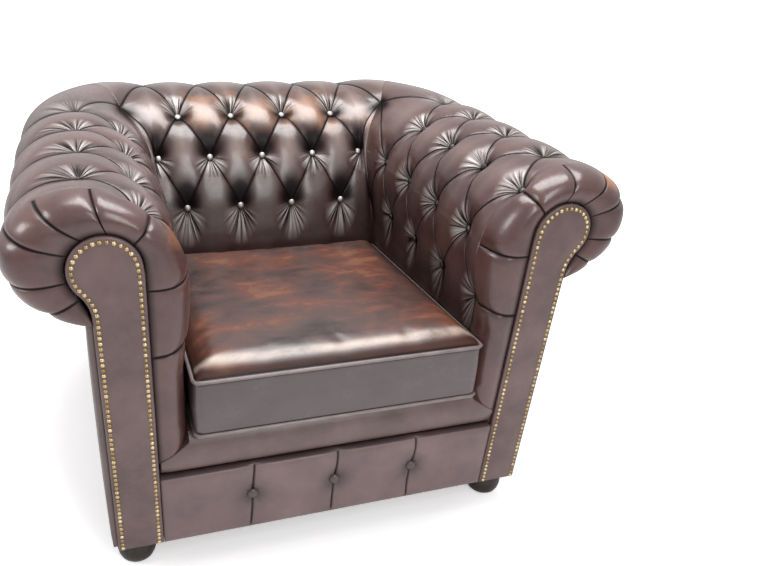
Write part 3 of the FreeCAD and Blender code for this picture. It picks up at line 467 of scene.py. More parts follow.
def back_grid():
    """The back, as columns from left to right: points, columns and painted shade."""
    corner = BACK_BLOCKS + np.arange(1, FINE_CORNER + 1) / FINE_CORNER
    straight = np.arange(-BACK_BLOCKS * FINE_COLUMNS, BACK_BLOCKS * FINE_COLUMNS + 1) / FINE_COLUMNS
    u = np.concatenate([-corner[::-1], straight, corner])[:, None]
    depth, hollow = quilt(u, rows, BACK_HALF, 0)
    t = np.clip(np.abs(u) - BACK_BLOCKS, 0, 1)
    depth = depth * (1 - t)
    side = np.where(u < 0, -1, 1)
    x = side * between(np.minimum(np.abs(u), BACK_BLOCKS) * BACK_HALF, square_mitre[:, 0], t)
    y = late(back_section[:, 0], square_mitre[:, 1], t) - back_normal[:, 0] * depth
    z = between(back_section[:, 1], square_mitre[:, 2], t) - back_normal[:, 1] * depth
    return np.stack([x, y, z], axis=-1), np.broadcast_to(u, depth.shape), hollow


def mesh_points(obj):
    places = np.zeros(len(obj.data.vertices) * 3)
    obj.data.vertices.foreach_get("co", places)
    return places.reshape(-1, 3)


def mark_wear(obj, centre, radius, strength):
    """Store where the leather's finish is worn off."""
    away = np.linalg.norm((mesh_points(obj) - centre) / radius, axis=1)
    mark(obj, wear=strength * np.exp(-away ** 2))


def leather_grain(n, vector, cells, pore, pore_depth, creases, lift):
    """Fine creases as a value, and the normal of the leather with its pores and creases."""
    pores = n.node("ShaderNodeTexVoronoi", {"Vector": vector, "Scale": cells}).outputs["Distance"]
    fine = n.noise(vector, creases, detail=5)
    return fine, n.bump(fine, lift, 0.0008, n.bump(pores, pore, pore_depth))


def quilted_finish(name, half, last, along, body, light, rub_low, low_shade, coat, crown):
    """Hand-rubbed leather with tan rub-off: painted shade near black in its folds, hollows and lower rows, a
    painted sheen down its pillows, and fans of fine folds from each button with painted highlights on their
    ridges.
    """
    n = new_material(name)
    vector = n.place()
    column, row_at, quilted = n.value("column"), n.value("row"), n.value("quilted")
    held = n.calc("MINIMUM", n.calc("MAXIMUM", row_at, 1), 4)
    slants, whole = [[n.times(n.calc(way, column, row), 0.5) for way in ("ADD", "SUBTRACT")]
                     for row in (held, row_at)]
    pleats = [n.calc("PINGPONG", place, 0.5) for place in slants]
    inward = n.calc("MINIMUM", *pleats)
    crease = n.times(n.level(inward, 0.004, 0.026, 1, 0), n.level(row_at, 0.7, 1.0), quilted)
    crease = n.calc("MAXIMUM", crease, n.level(n.value("crease"), 0.3, 2.4, 1, 0))
    near = [n.calc("ROUND", number) for number in whole]
    shift = [n.calc("SUBTRACT", *pair) for pair in zip(whole, near)]
    across, rise = n.times(n.calc("ADD", *shift), half), n.times(n.calc("SUBTRACT", *shift), ROW_RISE)
    reach = n.calc("SQRT", n.calc("ADD", n.times(across, across), n.times(rise, rise)))
    ways = [n.calc("DIVIDE", way, n.calc("MAXIMUM", reach, 0.1)) for way in (across, rise)]
    button_row = n.calc("SUBTRACT", *near)
    buttoned = n.times(n.calc("GREATER_THAN", button_row, 0.5), n.calc("LESS_THAN", button_row, 3.5 + along))
    upper = n.calc("MULTIPLY_ADD", n.calc("GREATER_THAN", button_row, 2.5), 2, -1)
    side = ways[0] if along else n.times(ways[1], upper)
    past_last = n.level(n.calc("ABSOLUTE", column), last + 0.05, last + 0.35, 1, 0)
    fan = n.times(n.level(side, 0.0, 0.55), n.level(reach, 44, 20), n.level(reach, 4, 9), past_last,
                  buttoned, quilted)
    pattern = n.calc("MULTIPLY_ADD", near[0], 3.7, n.times(near[1], 5.3))
    feeds = enumerate([n.times(way, 6.5) for way in ways] + [pattern])
    around = n.node("ShaderNodeCombineXYZ", feeds)
    ridge = n.times(n.level(n.noise(around.outputs["Vector"], 1.0, detail=3), 0.4, 0.6), fan)
    patches = n.noise(vector, 9, detail=7, roughness=0.64)
    wear = n.level(n.calc("ADD", patches, n.value("wear")), rub_low, rub_low + 0.42)
    # A paler tone down the middle of each pillow, strongest on the upper rows: rubbed leather and painted
    # sheen both.
    high = n.times(n.level(inward, 0.16, 0.42), n.level(row_at, 1.4, 2.6, 0.1, crown),
                   n.level(row_at, 4.2, 3.0, 0.3, 1), quilted)
    tone = n.tinted(high, n.ramp(patches, (0.34, body), (0.7, light)), WEAR_AND_SHEEN)
    # Painted highlight on the ridges of each fan of folds.
    tone = n.tinted(n.level(ridge, 0, 0.8, 0, 0.9), n.tinted(wear, tone, TAN), FOLD_HIGHLIGHT)
    # Painted shade: the hollows, the grooves between the fans' ridges, the lower rows and the creases go
    # near black, with less sheen.
    dark = n.value("hollow")
    low = n.times(n.level(row_at, 3.0, 1.0, 0, low_shade), quilted)
    for more in (n.times(n.calc("SUBTRACT", fan, ridge), 0.85), low, crease):
        dark = n.calc("MAXIMUM", dark, more)
    fine, skin = leather_grain(n, vector, 620, 0.25, 0.0003, 140, 0.22)
    return n.feed(Base_Color=n.tinted(n.level(dark, 0.0, 0.85, 0, 0.97), tone, RECESS_SHADE),
                  Specular_IOR_Level=n.level(dark, 0.1, 0.8, 0.5, 0.12),
                  Coat_Weight=n.level(dark, 0.1, 0.7, coat, 0.0), Coat_Roughness=0.2,
                  Roughness=n.level(fine, 0.3, 0.7, 0.28, 0.42),
                  Normal=n.bump(n.calc("SUBTRACT", ridge, crease), 0.9, 0.0022, skin))


arm_leather = quilted_finish("arm_leather", ARM_HALF, ARM_BLOCKS + 1, 1, (0.05, 0.022, 0.02),
                             (0.125, 0.058, 0.05), 0.75, 0.5, 0.55, 0.25)
back_leather = quilted_finish("back_leather", BACK_HALF, BACK_BLOCKS, 0, (0.04, 0.018, 0.016),
                              (0.1, 0.048, 0.038), 0.74, 0.3, 0.75, 0.7)
arm_surface, arm_columns, arm_hollow = arm_grid()
border, pleat_distance = ring_grid()
# Painted shade on the border's inner rows, against the facing.
border_edge_shade = np.clip(np.arange(FINE_RING, 0, -1) / FINE_RING * 4 - 3, 0, 1)[:, None]
none, ones = np.zeros(border.shape[:2]), np.ones(arm_hollow.shape)
arm_marks = {"hollow": np.concatenate([none + border_edge_shade, arm_hollow]),
             "column": np.concatenate([none, arm_columns]),
             "row": np.concatenate([none + rows, ones * rows]), "quilted": np.concatenate([none, ones]),
             "crease": np.concatenate([none + pleat_distance, ones * 99])}
arm_points = np.concatenate([border, arm_surface])
front_edge = np.column_stack([arm_inner[:, 0], np.full(len(rows), arm_points[0, 0, 1]), arm_inner[:, 1]])
arm_edge = np.stack([front_edge, lining_mitre])
for side, mirror in SIDES:
    turned = np.array([mirror, 1, 1])
    padding = closed_grid("quilted_arm_" + side, arm_points * turned, arm_edge * turned, arm_marks)
    mark_wear(padding, *ARM_WEAR[side])
    finish_piece(padding, arm_leather, "chair", "antique_leather", "inside_arm_" + side)
back_points, back_columns, back_hollow = back_grid()
ones = np.ones(back_hollow.shape)
back_marks = {"hollow": back_hollow, "column": back_columns, "row": ones * rows, "quilted": ones,
              "crease": ones * 99}
back_edge = np.stack([lining_mitre * (-1, 1, 1), lining_mitre])
padding = closed_grid("quilted_back", back_points, back_edge, back_marks)
mark_wear(padding, *BACK_WEAR)
finish_piece(padding, back_leather, "chair", "antique_leather", "inside_back")

# Buttons: pressed metal shells, plated a dull pewter and polished, pulled down on twine through
# the stuffing.
BUTTON_RADIUS = 0.0072
BUTTON_SINK = 5.2  # height of a button's middle over the bottom of its tuft, mm


def stud_tree():
    """Geometry Nodes that set a domed head on every point, square to the point's own normal."""
    group = bpy.data.node_groups.new("studs", "GeometryNodeTree")
    group.interface.new_socket("Geometry", in_out="OUTPUT", socket_type="NodeSocketGeometry")
    for title, kind in (("Geometry", "Geometry"), ("Radius", "Float"), ("Dome", "Float"),
                        ("Segments", "Int"), ("Rings", "Int"), ("Finish", "Material")):
        group.interface.new_socket(title, in_out="INPUT", socket_type="NodeSocket" + kind)
    n = Nodes(group)
    given = n.node("NodeGroupInput").outputs

    def shape(kind, feeds, **settings):
        return n.node("GeometryNode" + kind, feeds, **settings).outputs["Geometry"]

    ball = n.node("GeometryNodeMeshUVSphere", {key: given[key] for key in ("Segments", "Rings", "Radius")})
    squash = n.node("ShaderNodeCombineXYZ", {"X": 1, "Y": 1, "Z": given["Dome"]}).outputs["Vector"]
    head = shape("Transform", {"Geometry": ball.outputs["Mesh"], "Scale": squash})
    head = shape("SetShadeSmooth", {"Geometry": head})
    normal = n.node("GeometryNodeInputNamedAttribute", {"Name": "facing"}, data_type="FLOAT_VECTOR")
    turn = n.node("FunctionNodeAlignRotationToVector", {"Vector": normal.outputs["Attribute"]}, axis="Z")
    feeds = {"Points": given["Geometry"], "Instance": head, "Rotation": turn.outputs["Rotation"]}
    studs = n.node("GeometryNodeInstanceOnPoints", feeds).outputs["Instances"]
    tone = n.node("FunctionNodeRandomValue", {"Seed": 3}, data_type="FLOAT").outputs[1]
    studs = shape("StoreNamedAttribute", {"Geometry": studs, "Name": "tone", "Value": tone},
                  data_type="FLOAT", domain="INSTANCE")
    studs = shape("RealizeInstances", {"Geometry": studs})
    studs = shape("SetMaterial", {"Geometry": studs, "Material": given["Finish"]})
    n.node("NodeGroupOutput", {"Geometry": studs})
    return group


stud_nodes = stud_tree()


def evaluated_mesh(obj):
    """The shape of an object after its modifiers."""
    bpy.context.view_layer.update()
    return bpy.data.meshes.new_from_object(obj.evaluated_get(bpy.context.evaluated_depsgraph_get()))


def set_studs(name, places, normals, **sizes):
    """One plain mesh of studs, through the Geometry Nodes tree."""
    holder = mesh_object(name + "_places", places, [])
    layer = holder.data.attributes.new("facing", "FLOAT_VECTOR", "POINT")
    layer.data.foreach_set("vector", np.asarray(normals, np.float32).reshape(-1))
    modifier = holder.modifiers.new("studs", "NODES")
    modifier.node_group = stud_nodes
    for item in stud_nodes.interface.items_tree:
        if item.name in sizes:
            modifier[item.identifier] = sizes[item.name]
    obj = bpy.data.objects.new(name, evaluated_mesh(holder))
    bpy.context.scene.collection.objects.link(obj)
    bpy.data.objects.remove(holder)
    return obj


def button_places(section, normal, row, along):
    """Middle of each button of a row in mm, and the direction that it faces."""
    across, up = normal[row * FINE_ROWS]
    lift = (LOW_DEPTH if row == 1 else BUTTON_DEPTH) - BUTTON_SINK
    out, z = section[row * FINE_ROWS] - np.array([across, up]) * lift
    return [(out, place, z) for place in along], [(across, 0, up)] * len(along)


arm_spots, arm_ways, back_spots, back_ways = [], [], [], []
for row in (1, 2, 3):
    along = [RING_START + column * ARM_HALF for column in range(ARM_BLOCKS + 1)
             if (row + column) % 2 == 1 and (row > 1 or column > 0)]
    spots, ways = button_places(arm_section, arm_normal, row, along)
    arm_spots += spots
    arm_ways += ways
    along = [column * BACK_HALF * (0.97 if abs(column) == BACK_BLOCKS else 1.0)
             for column in range(-BACK_BLOCKS, BACK_BLOCKS + 1) if (row + column) % 2 == 0]
    spots, ways = button_places(back_section, back_normal, row, along)
    back_spots += spots
    back_ways += ways
button_sizes = {"Radius": BUTTON_RADIUS, "Dome": 0.62, "Segments": 20, "Rings": 12}
pewter = metal_finish("pewter", (0.36, 0.34, 0.33), (0.58, 0.56, 0.54), 0.46, 90)
# The arms' buttons get a shaded copy of the pewter, darker because they face away from the light: painted
# shade.
shaded_pewter = metal_finish("shaded_pewter", (0.03, 0.026, 0.024), (0.09, 0.08, 0.075), 0.34, 90)
for side, mirror in SIDES:
    turned = np.array([mirror, 1, 1])
    buttons = set_studs("buttons_arm_" + side, np.array(arm_spots) * turned * MM,
                        np.array(arm_ways) * turned, Finish=shaded_pewter, **button_sizes)
    finish_piece(buttons, shaded_pewter, "chair", "button_metal", "arm_buttons_" + side)
swap = [1, 0, 2]
buttons = set_studs("buttons_back", np.array(back_spots)[:, swap] * MM, np.array(back_ways)[:, swap],
                    Finish=pewter, **button_sizes)
finish_piece(buttons, pewter, "chair", "button_metal", "back_buttons")

# Facings: leather pulled over a thin pad on the scroll-shaped front boards, edged all round with
# close-set antique brass nails.
FACING_FRONT, FACING_LOW = -450.0, 67.0
FACING_RINGS = [(0, 12), (0, 3), (0.6, 1.2), (1.8, 0.3), (4, 0), (12, -1.2), (20, -2.2), (30, -2.8)]
NECK_ROUND = 64.0
NAIL_PITCH, NAIL_RADIUS, NAIL_INSET = 9.6, 3.8, 8.0


def scroll_outline(inset):
    """Outline of the facing drawn in by inset, from its inner foot round the head to its outer foot."""
    inner, outer = LINING_X + 0.3 + inset, PANEL_X - inset
    low, centre = FACING_LOW + inset, LINING_X + SCROLL_R
    r, bend = SCROLL_R - 1.5 - inset, NECK_ROUND + inset
    reach = PANEL_X + NECK_ROUND - centre
    neck_z, end = SCROLL_Z - math.sqrt((r + bend) ** 2 - reach ** 2), math.acos(reach / (r + bend))
    start = math.acos(max((inner - centre) / r, -1))
    path = [(inner, z) for z in np.linspace(low, SCROLL_Z + r * math.sin(start), 60, endpoint=False)]
    path += [(centre + r * math.cos(a), SCROLL_Z + r * math.sin(a)) for a in np.linspace(start, -end, 64)]
    path += [(outer + bend + bend * math.cos(a), neck_z + bend * math.sin(a))
             for a in np.linspace(math.pi - end, math.pi, 20)[1:]]
    path += [(outer, z) for z in np.linspace(neck_z, low, 60)[1:]]
    return path + [(x, low) for x in np.linspace(outer, inner, 12)[1:-1]]


def plain_leather(name, dark, light, patch, rough):
    """Plain upholstery leather with a soft sheen."""
    n = new_material(name)
    vector = n.place()
    tone = n.ramp(n.noise(vector, patch, detail=6, roughness=0.6), (0.3, dark), (0.72, light))
    fine, skin = leather_grain(n, vector, 520, 0.35, 0.0004, 160, 0.25)
    # Painted shade: near black where the mesh marks it.
    return n.feed(Base_Color=n.tinted(n.value("hollow"), tone, RECESS_SHADE), Coat_Weight=0.2, Coat_Roughness=0.25,
                  Roughness=n.level(fine, 0.3, 0.7, rough - 0.05, rough + 0.08), Normal=skin)


def evenly(path, count=0):
    """Places a nail's pitch apart along a path, or a count of them round a closed one."""
    path = np.array(path)
    runs = np.concatenate([[0], np.cumsum(np.linalg.norm(np.diff(path, axis=0), axis=1))])
    at = np.linspace(0, runs[-1], count or int(runs[-1] / NAIL_PITCH) + 1, endpoint=not count)
    return np.column_stack([np.interp(at, runs, side) for side in path.T])


def nail_places():
    """Nail places round a facing, from the foot of its inner side to the foot of its outer side."""
    path = [p for p in scroll_outline(NAIL_INSET) if p[1] > FACING_LOW + NAIL_INSET + 0.5]
    return evenly([(path[0][0], FACING_LOW + 6)] + path + [(path[-1][0], FACING_LOW + 6)])


def brass_finish():
    """Antique brass, each nail a little lighter or darker than the next."""
    n = new_material("antique_brass")
    colour = n.ramp(n.value("tone"), (0.0, (0.3, 0.21, 0.1)), (0.5, (0.5, 0.38, 0.19)),
                    (1.0, (0.72, 0.58, 0.33)))
    return n.feed(Base_Color=colour, Metallic=1.0,
                  Roughness=n.level(n.noise(n.place(), 500, detail=3), 0.3, 0.7, 0.22, 0.42))


facing_leather = plain_leather("facing_leather", (0.088, 0.052, 0.05), (0.162, 0.1, 0.096), 14, 0.42)
antique_brass = brass_finish()
for side, mirror in SIDES:
    points = [(mirror * x * MM, (FACING_FRONT + y) * MM, z * MM)
              for inset, y in FACING_RINGS for x, z in scroll_outline(inset)]
    panel_faces = ring_faces(len(FACING_RINGS), len(points) // len(FACING_RINGS))
    panel = solid_object("facing_panel_" + side, points, panel_faces)
    finish_piece(panel, facing_leather, "chair", "panel_leather", "facing_" + side)
    spots = [(mirror * x * MM, (FACING_FRONT - 0.4) * MM, z * MM) for x, z in nail_places()]
    nails = set_studs("nails_" + side, spots, [(0, -1, 0)] * len(spots), Radius=NAIL_RADIUS * MM, Dome=0.75,
                      Segments=8, Rings=6, Finish=antique_brass)
    finish_piece(nails, antique_brass, "chair", "brass_nails", "facing_nails_" + side)

# Outside arms and back: flat leather over card, tacked under the roll and below the frame.
PANEL_COLUMNS, PANEL_ROWS = 49, 33


def backed_sheet(columns, height):
    """Faces of a sheet, of the walls behind its rim and of its back, and the rim's points in order."""
    index = np.arange(columns * height).reshape(columns, height)
    rim = [*index[:, 0], *index[-1, 1:], *index[-2::-1, -1], *index[0, -2:0:-1]]
    count, start = len(rim), columns * height
    faces = grid_faces(index).tolist()
    for k in range(count):
        m = (k + 1) % count
        faces.append((rim[k], rim[m], start + m, start + k))
    return faces + [range(start, start + count)], rim


def panel_mesh(name, node, axis, out, bulge):
    """A leather panel with softened edges and a slight belly on its outer face."""
    low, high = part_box(node)
    across = 1 - axis
    face, back = (high, low) if out > 0 else (low, high)
    points = []
    for a in np.arange(PANEL_COLUMNS) / (PANEL_COLUMNS - 1):
        for b in np.arange(PANEL_ROWS) / (PANEL_ROWS - 1):
            edge = min(min(a, 1 - a) * (high[across] - low[across]), min(b, 1 - b) * (high[2] - low[2]))
            belly = bulge * (math.sin(a * math.pi) * math.sin(b * math.pi)) ** 0.4
            p = [0.0, 0.0, between(low[2], high[2], b)]
            p[axis] = face[axis] + out * (belly - 0.0015 * math.exp(-edge / 0.008))
            p[across] = between(low[across], high[across], a)
            points.append(p)
    faces, rim = backed_sheet(PANEL_COLUMNS, PANEL_ROWS)
    for spot in rim:
        p = list(points[spot])
        p[axis] = back[axis]
        points.append(p)
    return solid_object(name, points, faces)


outside_leather = plain_leather("outside_leather", (0.08, 0.055, 0.055), (0.15, 0.105, 0.1), 10, 0.42)
for name, node, axis, out, bulge in (("outside_panel_right", "outside_arm_right", 0, 1, 0.009),
                                     ("outside_panel_left", "outside_arm_left", 0, -1, 0.009),
                                     ("outside_panel_back", "outside_back", 1, 1, 0.005)):
    panel = panel_mesh(name, node, axis, out, bulge)
    finish_piece(panel, outside_leather, "chair", "panel_leather", node)

# Seat edge: a padded lip of leather over the front of the platform, and below its seam a padded
# base panel drawn in by three covered buttons, with a pleat through each.
SEAT_FRONT, SEAT_SLOPE = 303.0, 0.0743
SEAM_Z, RAIL_Y = 216.0, -429.7
LIP_FRONT, LIP_BACK, LIP_LOW, LIP_ROUND = -452.0, -357.0, 205.0, 24.0
LIP_HALF, LIP_NARROW = 319.0, 269.2  # half its width below, and between the arms
BASE_PITCH, BASE_LOW, BASE_MID, BASE_HALF = 158.0, 67.0, 147.0, 321.4
BASE_FRONT = -451.0
BASE_BUTTON_RADIUS = 0.0106


def seat_z(y):
    return SEAT_FRONT - SEAT_SLOPE * (y + 460)


def lip_profile():
    """Section of the lip, from behind its seam over the nose to its rear, then back underneath."""
    nose = []
    for a in between(-0.55 * math.pi, 0.5 * math.pi, np.linspace(0, 1, 40)):
        z = between(SEAM_Z + 3, seat_z(LIP_FRONT + LIP_ROUND), 0.5 + 0.5 * math.sin(a))
        nose.append((LIP_FRONT + LIP_ROUND - LIP_ROUND * math.cos(a), z))
    top = [(y, seat_z(y)) for y in np.linspace(LIP_FRONT + 28, LIP_BACK, 16)]
    return [(RAIL_Y, SEAM_Z + 1)] + nose + top + [(LIP_BACK, LIP_LOW), (RAIL_Y, LIP_LOW)]


def lip_mesh():
    profile = lip_profile()
    end = np.linspace(-LIP_HALF, -LIP_HALF + 30, 12)
    stations = np.concatenate([end, np.linspace(-LIP_HALF + 36, LIP_HALF - 36, 80), -end[::-1]])
    points = []
    for x in stations:
        squeeze = 5.0 * max(1 - (LIP_HALF - abs(x)) / 26, 0) ** 2
        for y, z in profile:
            front = y + squeeze * max(0, min(1, (RAIL_Y - y) / 22))
            half = LIP_HALF if z < 254 else between(LIP_HALF, LIP_NARROW, min((z - 254) / 34, 1))
            points.append((max(min(x, half), -half) * MM, front * MM, z * MM))
    # Painted shade: a dark line along the seam under the lip.
    seam = [0.8 * max(1 - abs(p[2] / MM - SEAM_Z - 2) / 3, 0) for p in points]
    return solid_object("seat_lip", points, ring_faces(len(stations), len(profile)), hollow=seam)


def base_surface(x, z):
    """Place to the front of the base panel's leather in mm, and how much painted shade it gets along its
    pleats, round its buttons and under its seam.
    """
    edge = min(x + BASE_HALF, BASE_HALF - x, z - BASE_LOW, SEAM_Z - z)
    near = min((-1, 0, 1), key=lambda k: abs(x - k * BASE_PITCH))
    across, rise = x - near * BASE_PITCH, z - BASE_MID
    reach, turn = math.hypot(across, rise), math.atan2(rise, across)
    pleat = abs(across - 2.5 * math.sin(rise / 34) - 1.5 * near * math.sin(rise / 21))
    inner = min(max(edge, 0) / 4, 1)
    line = inner * (4.5 * max(1 - pleat / 36, 0) ** 2 + 3.5 * math.exp(-(pleat / 1.7) ** 2))
    dimple = 6.0 * math.exp(-(reach / 17) ** 1.5)
    gather = 0.7 * math.sin(9 * turn + near) * math.exp(-((reach - 20) / 12) ** 2)
    rim = 5.0 * max(1 - edge / 16, 0) ** 2.2
    y = min(BASE_FRONT - 2 + rim + line + dimple + gather, RAIL_Y - 1)
    # Painted shade: dark along each pleat, round each button and under the seam.
    dark = max(0.95 * math.exp(-(pleat / 1.5) ** 2) * inner, 0.78 * math.exp(-(reach / 25) ** 2),
               0.6 * max(1 - (SEAM_Z - z) / 2, 0))
    return y, dark


def base_mesh():
    fine = [k * BASE_PITCH + np.linspace(-16, 16, 46) for k in (-1, 0, 1)]
    xs = np.unique(np.concatenate([np.linspace(-BASE_HALF, BASE_HALF, 200)] + fine))
    places = [(x, z) for x in xs for z in np.linspace(BASE_LOW, SEAM_Z, 90)]
    surface = [base_surface(x, z) for x, z in places]
    points = [(x * MM, y * MM, z * MM) for (x, z), (y, dark) in zip(places, surface)]
    faces, rim = backed_sheet(len(xs), 90)
    points += [(points[a][0], RAIL_Y * MM, points[a][2]) for a in rim]
    return solid_object("base_cover", points, faces, hollow=[dark for y, dark in surface] + [0.0] * len(rim))


lip_leather = plain_leather("lip_leather", (0.085, 0.052, 0.05), (0.16, 0.105, 0.098), 12, 0.34)
lip = lip_mesh()
finish_piece(lip, lip_leather, "chair", "antique_leather", "front_lip")
base_leather = plain_leather("base_leather", (0.12, 0.075, 0.077), (0.21, 0.135, 0.136), 9, 0.4)
base = base_mesh()
finish_piece(base, base_leather, "chair", "panel_leather", "base_panel")
base_spots = [(k * BASE_PITCH * MM, (BASE_FRONT + 5.5) * MM, BASE_MID * MM) for k in (-1, 0, 1)]
button_leather = plain_leather("button_leather", (0.06, 0.038, 0.038), (0.1, 0.065, 0.064), 30, 0.34)
covered = set_studs("buttons_base", base_spots, [(0, -1, 0)] * 3, Radius=BASE_BUTTON_RADIUS, Dome=0.6,
                    Segments=24, Rings=12, Finish=button_leather)
finish_piece(covered, button_leather, "chair", "cushion_leather", "base_buttons")

# Loose cushion: foam in wadding, in a boxed leather cover with covered piping round both edges
# and a zip across the rear boxing. Its crown is blown up by a cloth simulation.
CUSHION_FRONT, CUSHION_LIFT = -460.0, 303.3
CUSHION_HALF, CUSHION_LENGTH, CUSHION_THICK = 265.5, 552.0, 110.0
CUSHION_CROWN, CUSHION_CORNER, PIPE_R, PIPE_SIDES = 8.0, 13.0, 3.4, 12
EDGE_SLOPE, EDGE_TURN, EDGE_SOFT = 0.76, 25.0, 5.0  # the front's and sides' rise to the crown
CUSHION_SHIFT = 3.0
CUSHION_SWELL, BOXING_SWELL = 7.0, 1.5  # furthest that the simulation may move the leather, mm
CUSHION_FINE = 0.006
RIM_COUNT = 160
CUSHION_LEVELS = [(4, 0.5), (3.0, 8), (1.6, 30), (1.2, 55), (1.6, 80), (3.0, 102), (5, 109)]
seat_angle = math.atan(SEAT_SLOPE)
cushion_place = Vector((CUSHION_SHIFT, CUSHION_FRONT - PIPE_R * math.sin(seat_angle), CUSHION_LIFT)) * MM
cushion_seat = Matrix.Translation(cushion_place) @ Matrix.Rotation(-seat_angle, 4, "X")


def cushion_rim(inset, count=RIM_COUNT):
    """Rounded outline of the cushion drawn in by inset, evenly spaced, in mm on its own level."""
    r = CUSHION_CORNER
    near, far = CUSHION_HALF - r, CUSHION_LENGTH - r
    path = []
    for x, y, start in ((near, r, -90), (near, far, 0), (-near, far, 90), (-near, r, 180)):
        for a in np.radians(np.linspace(start, start + 90, 24)):
            path.append((x + (r - inset) * math.cos(a), y + (r - inset) * math.sin(a)))
    return evenly(path + path[:1], count)


def cushion_ring(inset, share, z):
    """A ring of the cover, drawn in to a share of its size."""
    middle = np.array([0, CUSHION_LENGTH / 2])
    return np.column_stack([middle + (cushion_rim(inset) - middle) * share, np.full(RIM_COUNT, z)])


def cushion_body():
    """The cover before it is stuffed: crowned top, upright boxing and flat bottom."""
    rings = [cushion_ring(4, share, 0.5) for share in (0.15, 0.4, 0.65, 0.85)]
    rings += [cushion_ring(inset, 1, z) for inset, z in CUSHION_LEVELS]
    for share in (0.99, 0.977, 0.96, 0.94, 0.91, 0.87, 0.82, 0.72, 0.6, 0.46, 0.3, 0.14):
        inward = (1 - share) * CUSHION_LENGTH / 2
        eased = EDGE_SOFT * (math.log1p(math.exp(EDGE_TURN / EDGE_SOFT))
                             - math.log1p(math.exp((EDGE_TURN - inward) / EDGE_SOFT)))
        rise = EDGE_SLOPE * eased + CUSHION_CROWN * (1 - share ** 2)
        rings.append(cushion_ring(5, share, CUSHION_THICK + rise))
    faces = ring_faces(len(rings), RIM_COUNT)
    return solid_object("cushion_cover_leather", np.concatenate(rings) * MM, faces)


def apply_modifiers(obj):
    """Turn the evaluated shape into the piece's own mesh."""
    data = evaluated_mesh(obj)
    obj.modifiers.clear()
    obj.data = data


def stuff_cushion(obj):
    """Blow the cover up with the cloth solver, and hold it near its seams."""
    even = obj.modifiers.new("even", "REMESH")
    even.mode = "VOXEL"
    even.voxel_size = CUSHION_FINE
    even.use_smooth_shade = True
    apply_modifiers(obj)
    flat = mesh_points(obj)
    cloth = obj.modifiers.new("cloth", "CLOTH")
    cloth.settings.quality = 6
    cloth.settings.mass = 0.3
    cloth.settings.tension_stiffness = 15
    cloth.settings.compression_stiffness = 15
    cloth.settings.bending_stiffness = 0.6
    cloth.settings.use_pressure = True
    cloth.settings.uniform_pressure_force = 4
    cloth.settings.effector_weights.gravity = 0
    cloth.point_cache.frame_start = 1
    cloth.point_cache.frame_end = 20
    for step in range(1, 21):
        bpy.context.scene.frame_set(step)
    apply_modifiers(obj)
    bpy.context.scene.frame_set(1)
    moved = mesh_points(obj) - flat
    height = flat[:, 2] / MM
    rim = np.minimum(np.abs(height - CUSHION_THICK + 3), np.abs(height - 3))
    hold = np.where(height > CUSHION_THICK + 4, np.clip((height - CUSHION_THICK - 8) / 16, 0, 1),
                    np.clip(rim / 22, 0, 1) * 0.12)
    allowed = CUSHION_SWELL * MM * np.where(height < 2, 0, hold)
    length = np.linalg.norm(moved, axis=1)
    moved *= np.where(length > allowed, allowed / np.maximum(length, 1e-9), 1)[:, None]
    moved[:, 0] = np.clip(moved[:, 0], -BOXING_SWELL * MM, BOXING_SWELL * MM)
    obj.data.vertices.foreach_set("co", (flat + moved).reshape(-1))
    fair = obj.modifiers.new("fair", "SUBSURF")
    fair.levels = 1
    fair.render_levels = 1
    apply_modifiers(obj)


def mark_cushion(obj):
    """Store where the cover is top, the band behind its front edge that gets a painted highlight, and its
    distance from the seams.
    """
    x, y, z = (mesh_points(obj) / MM).T
    top = np.clip((z - CUSHION_THICK + 2) / 1.5, 0, 1)
    front = np.exp(-np.abs((y - 33) / 8) ** 3) * top
    sides = np.minimum(CUSHION_HALF - np.abs(x), np.minimum(y, CUSHION_LENGTH - y))
    mark(obj, top=top, front=front, seam=np.where(top > 0.5, sides, np.minimum(z, CUSHION_THICK - z)))


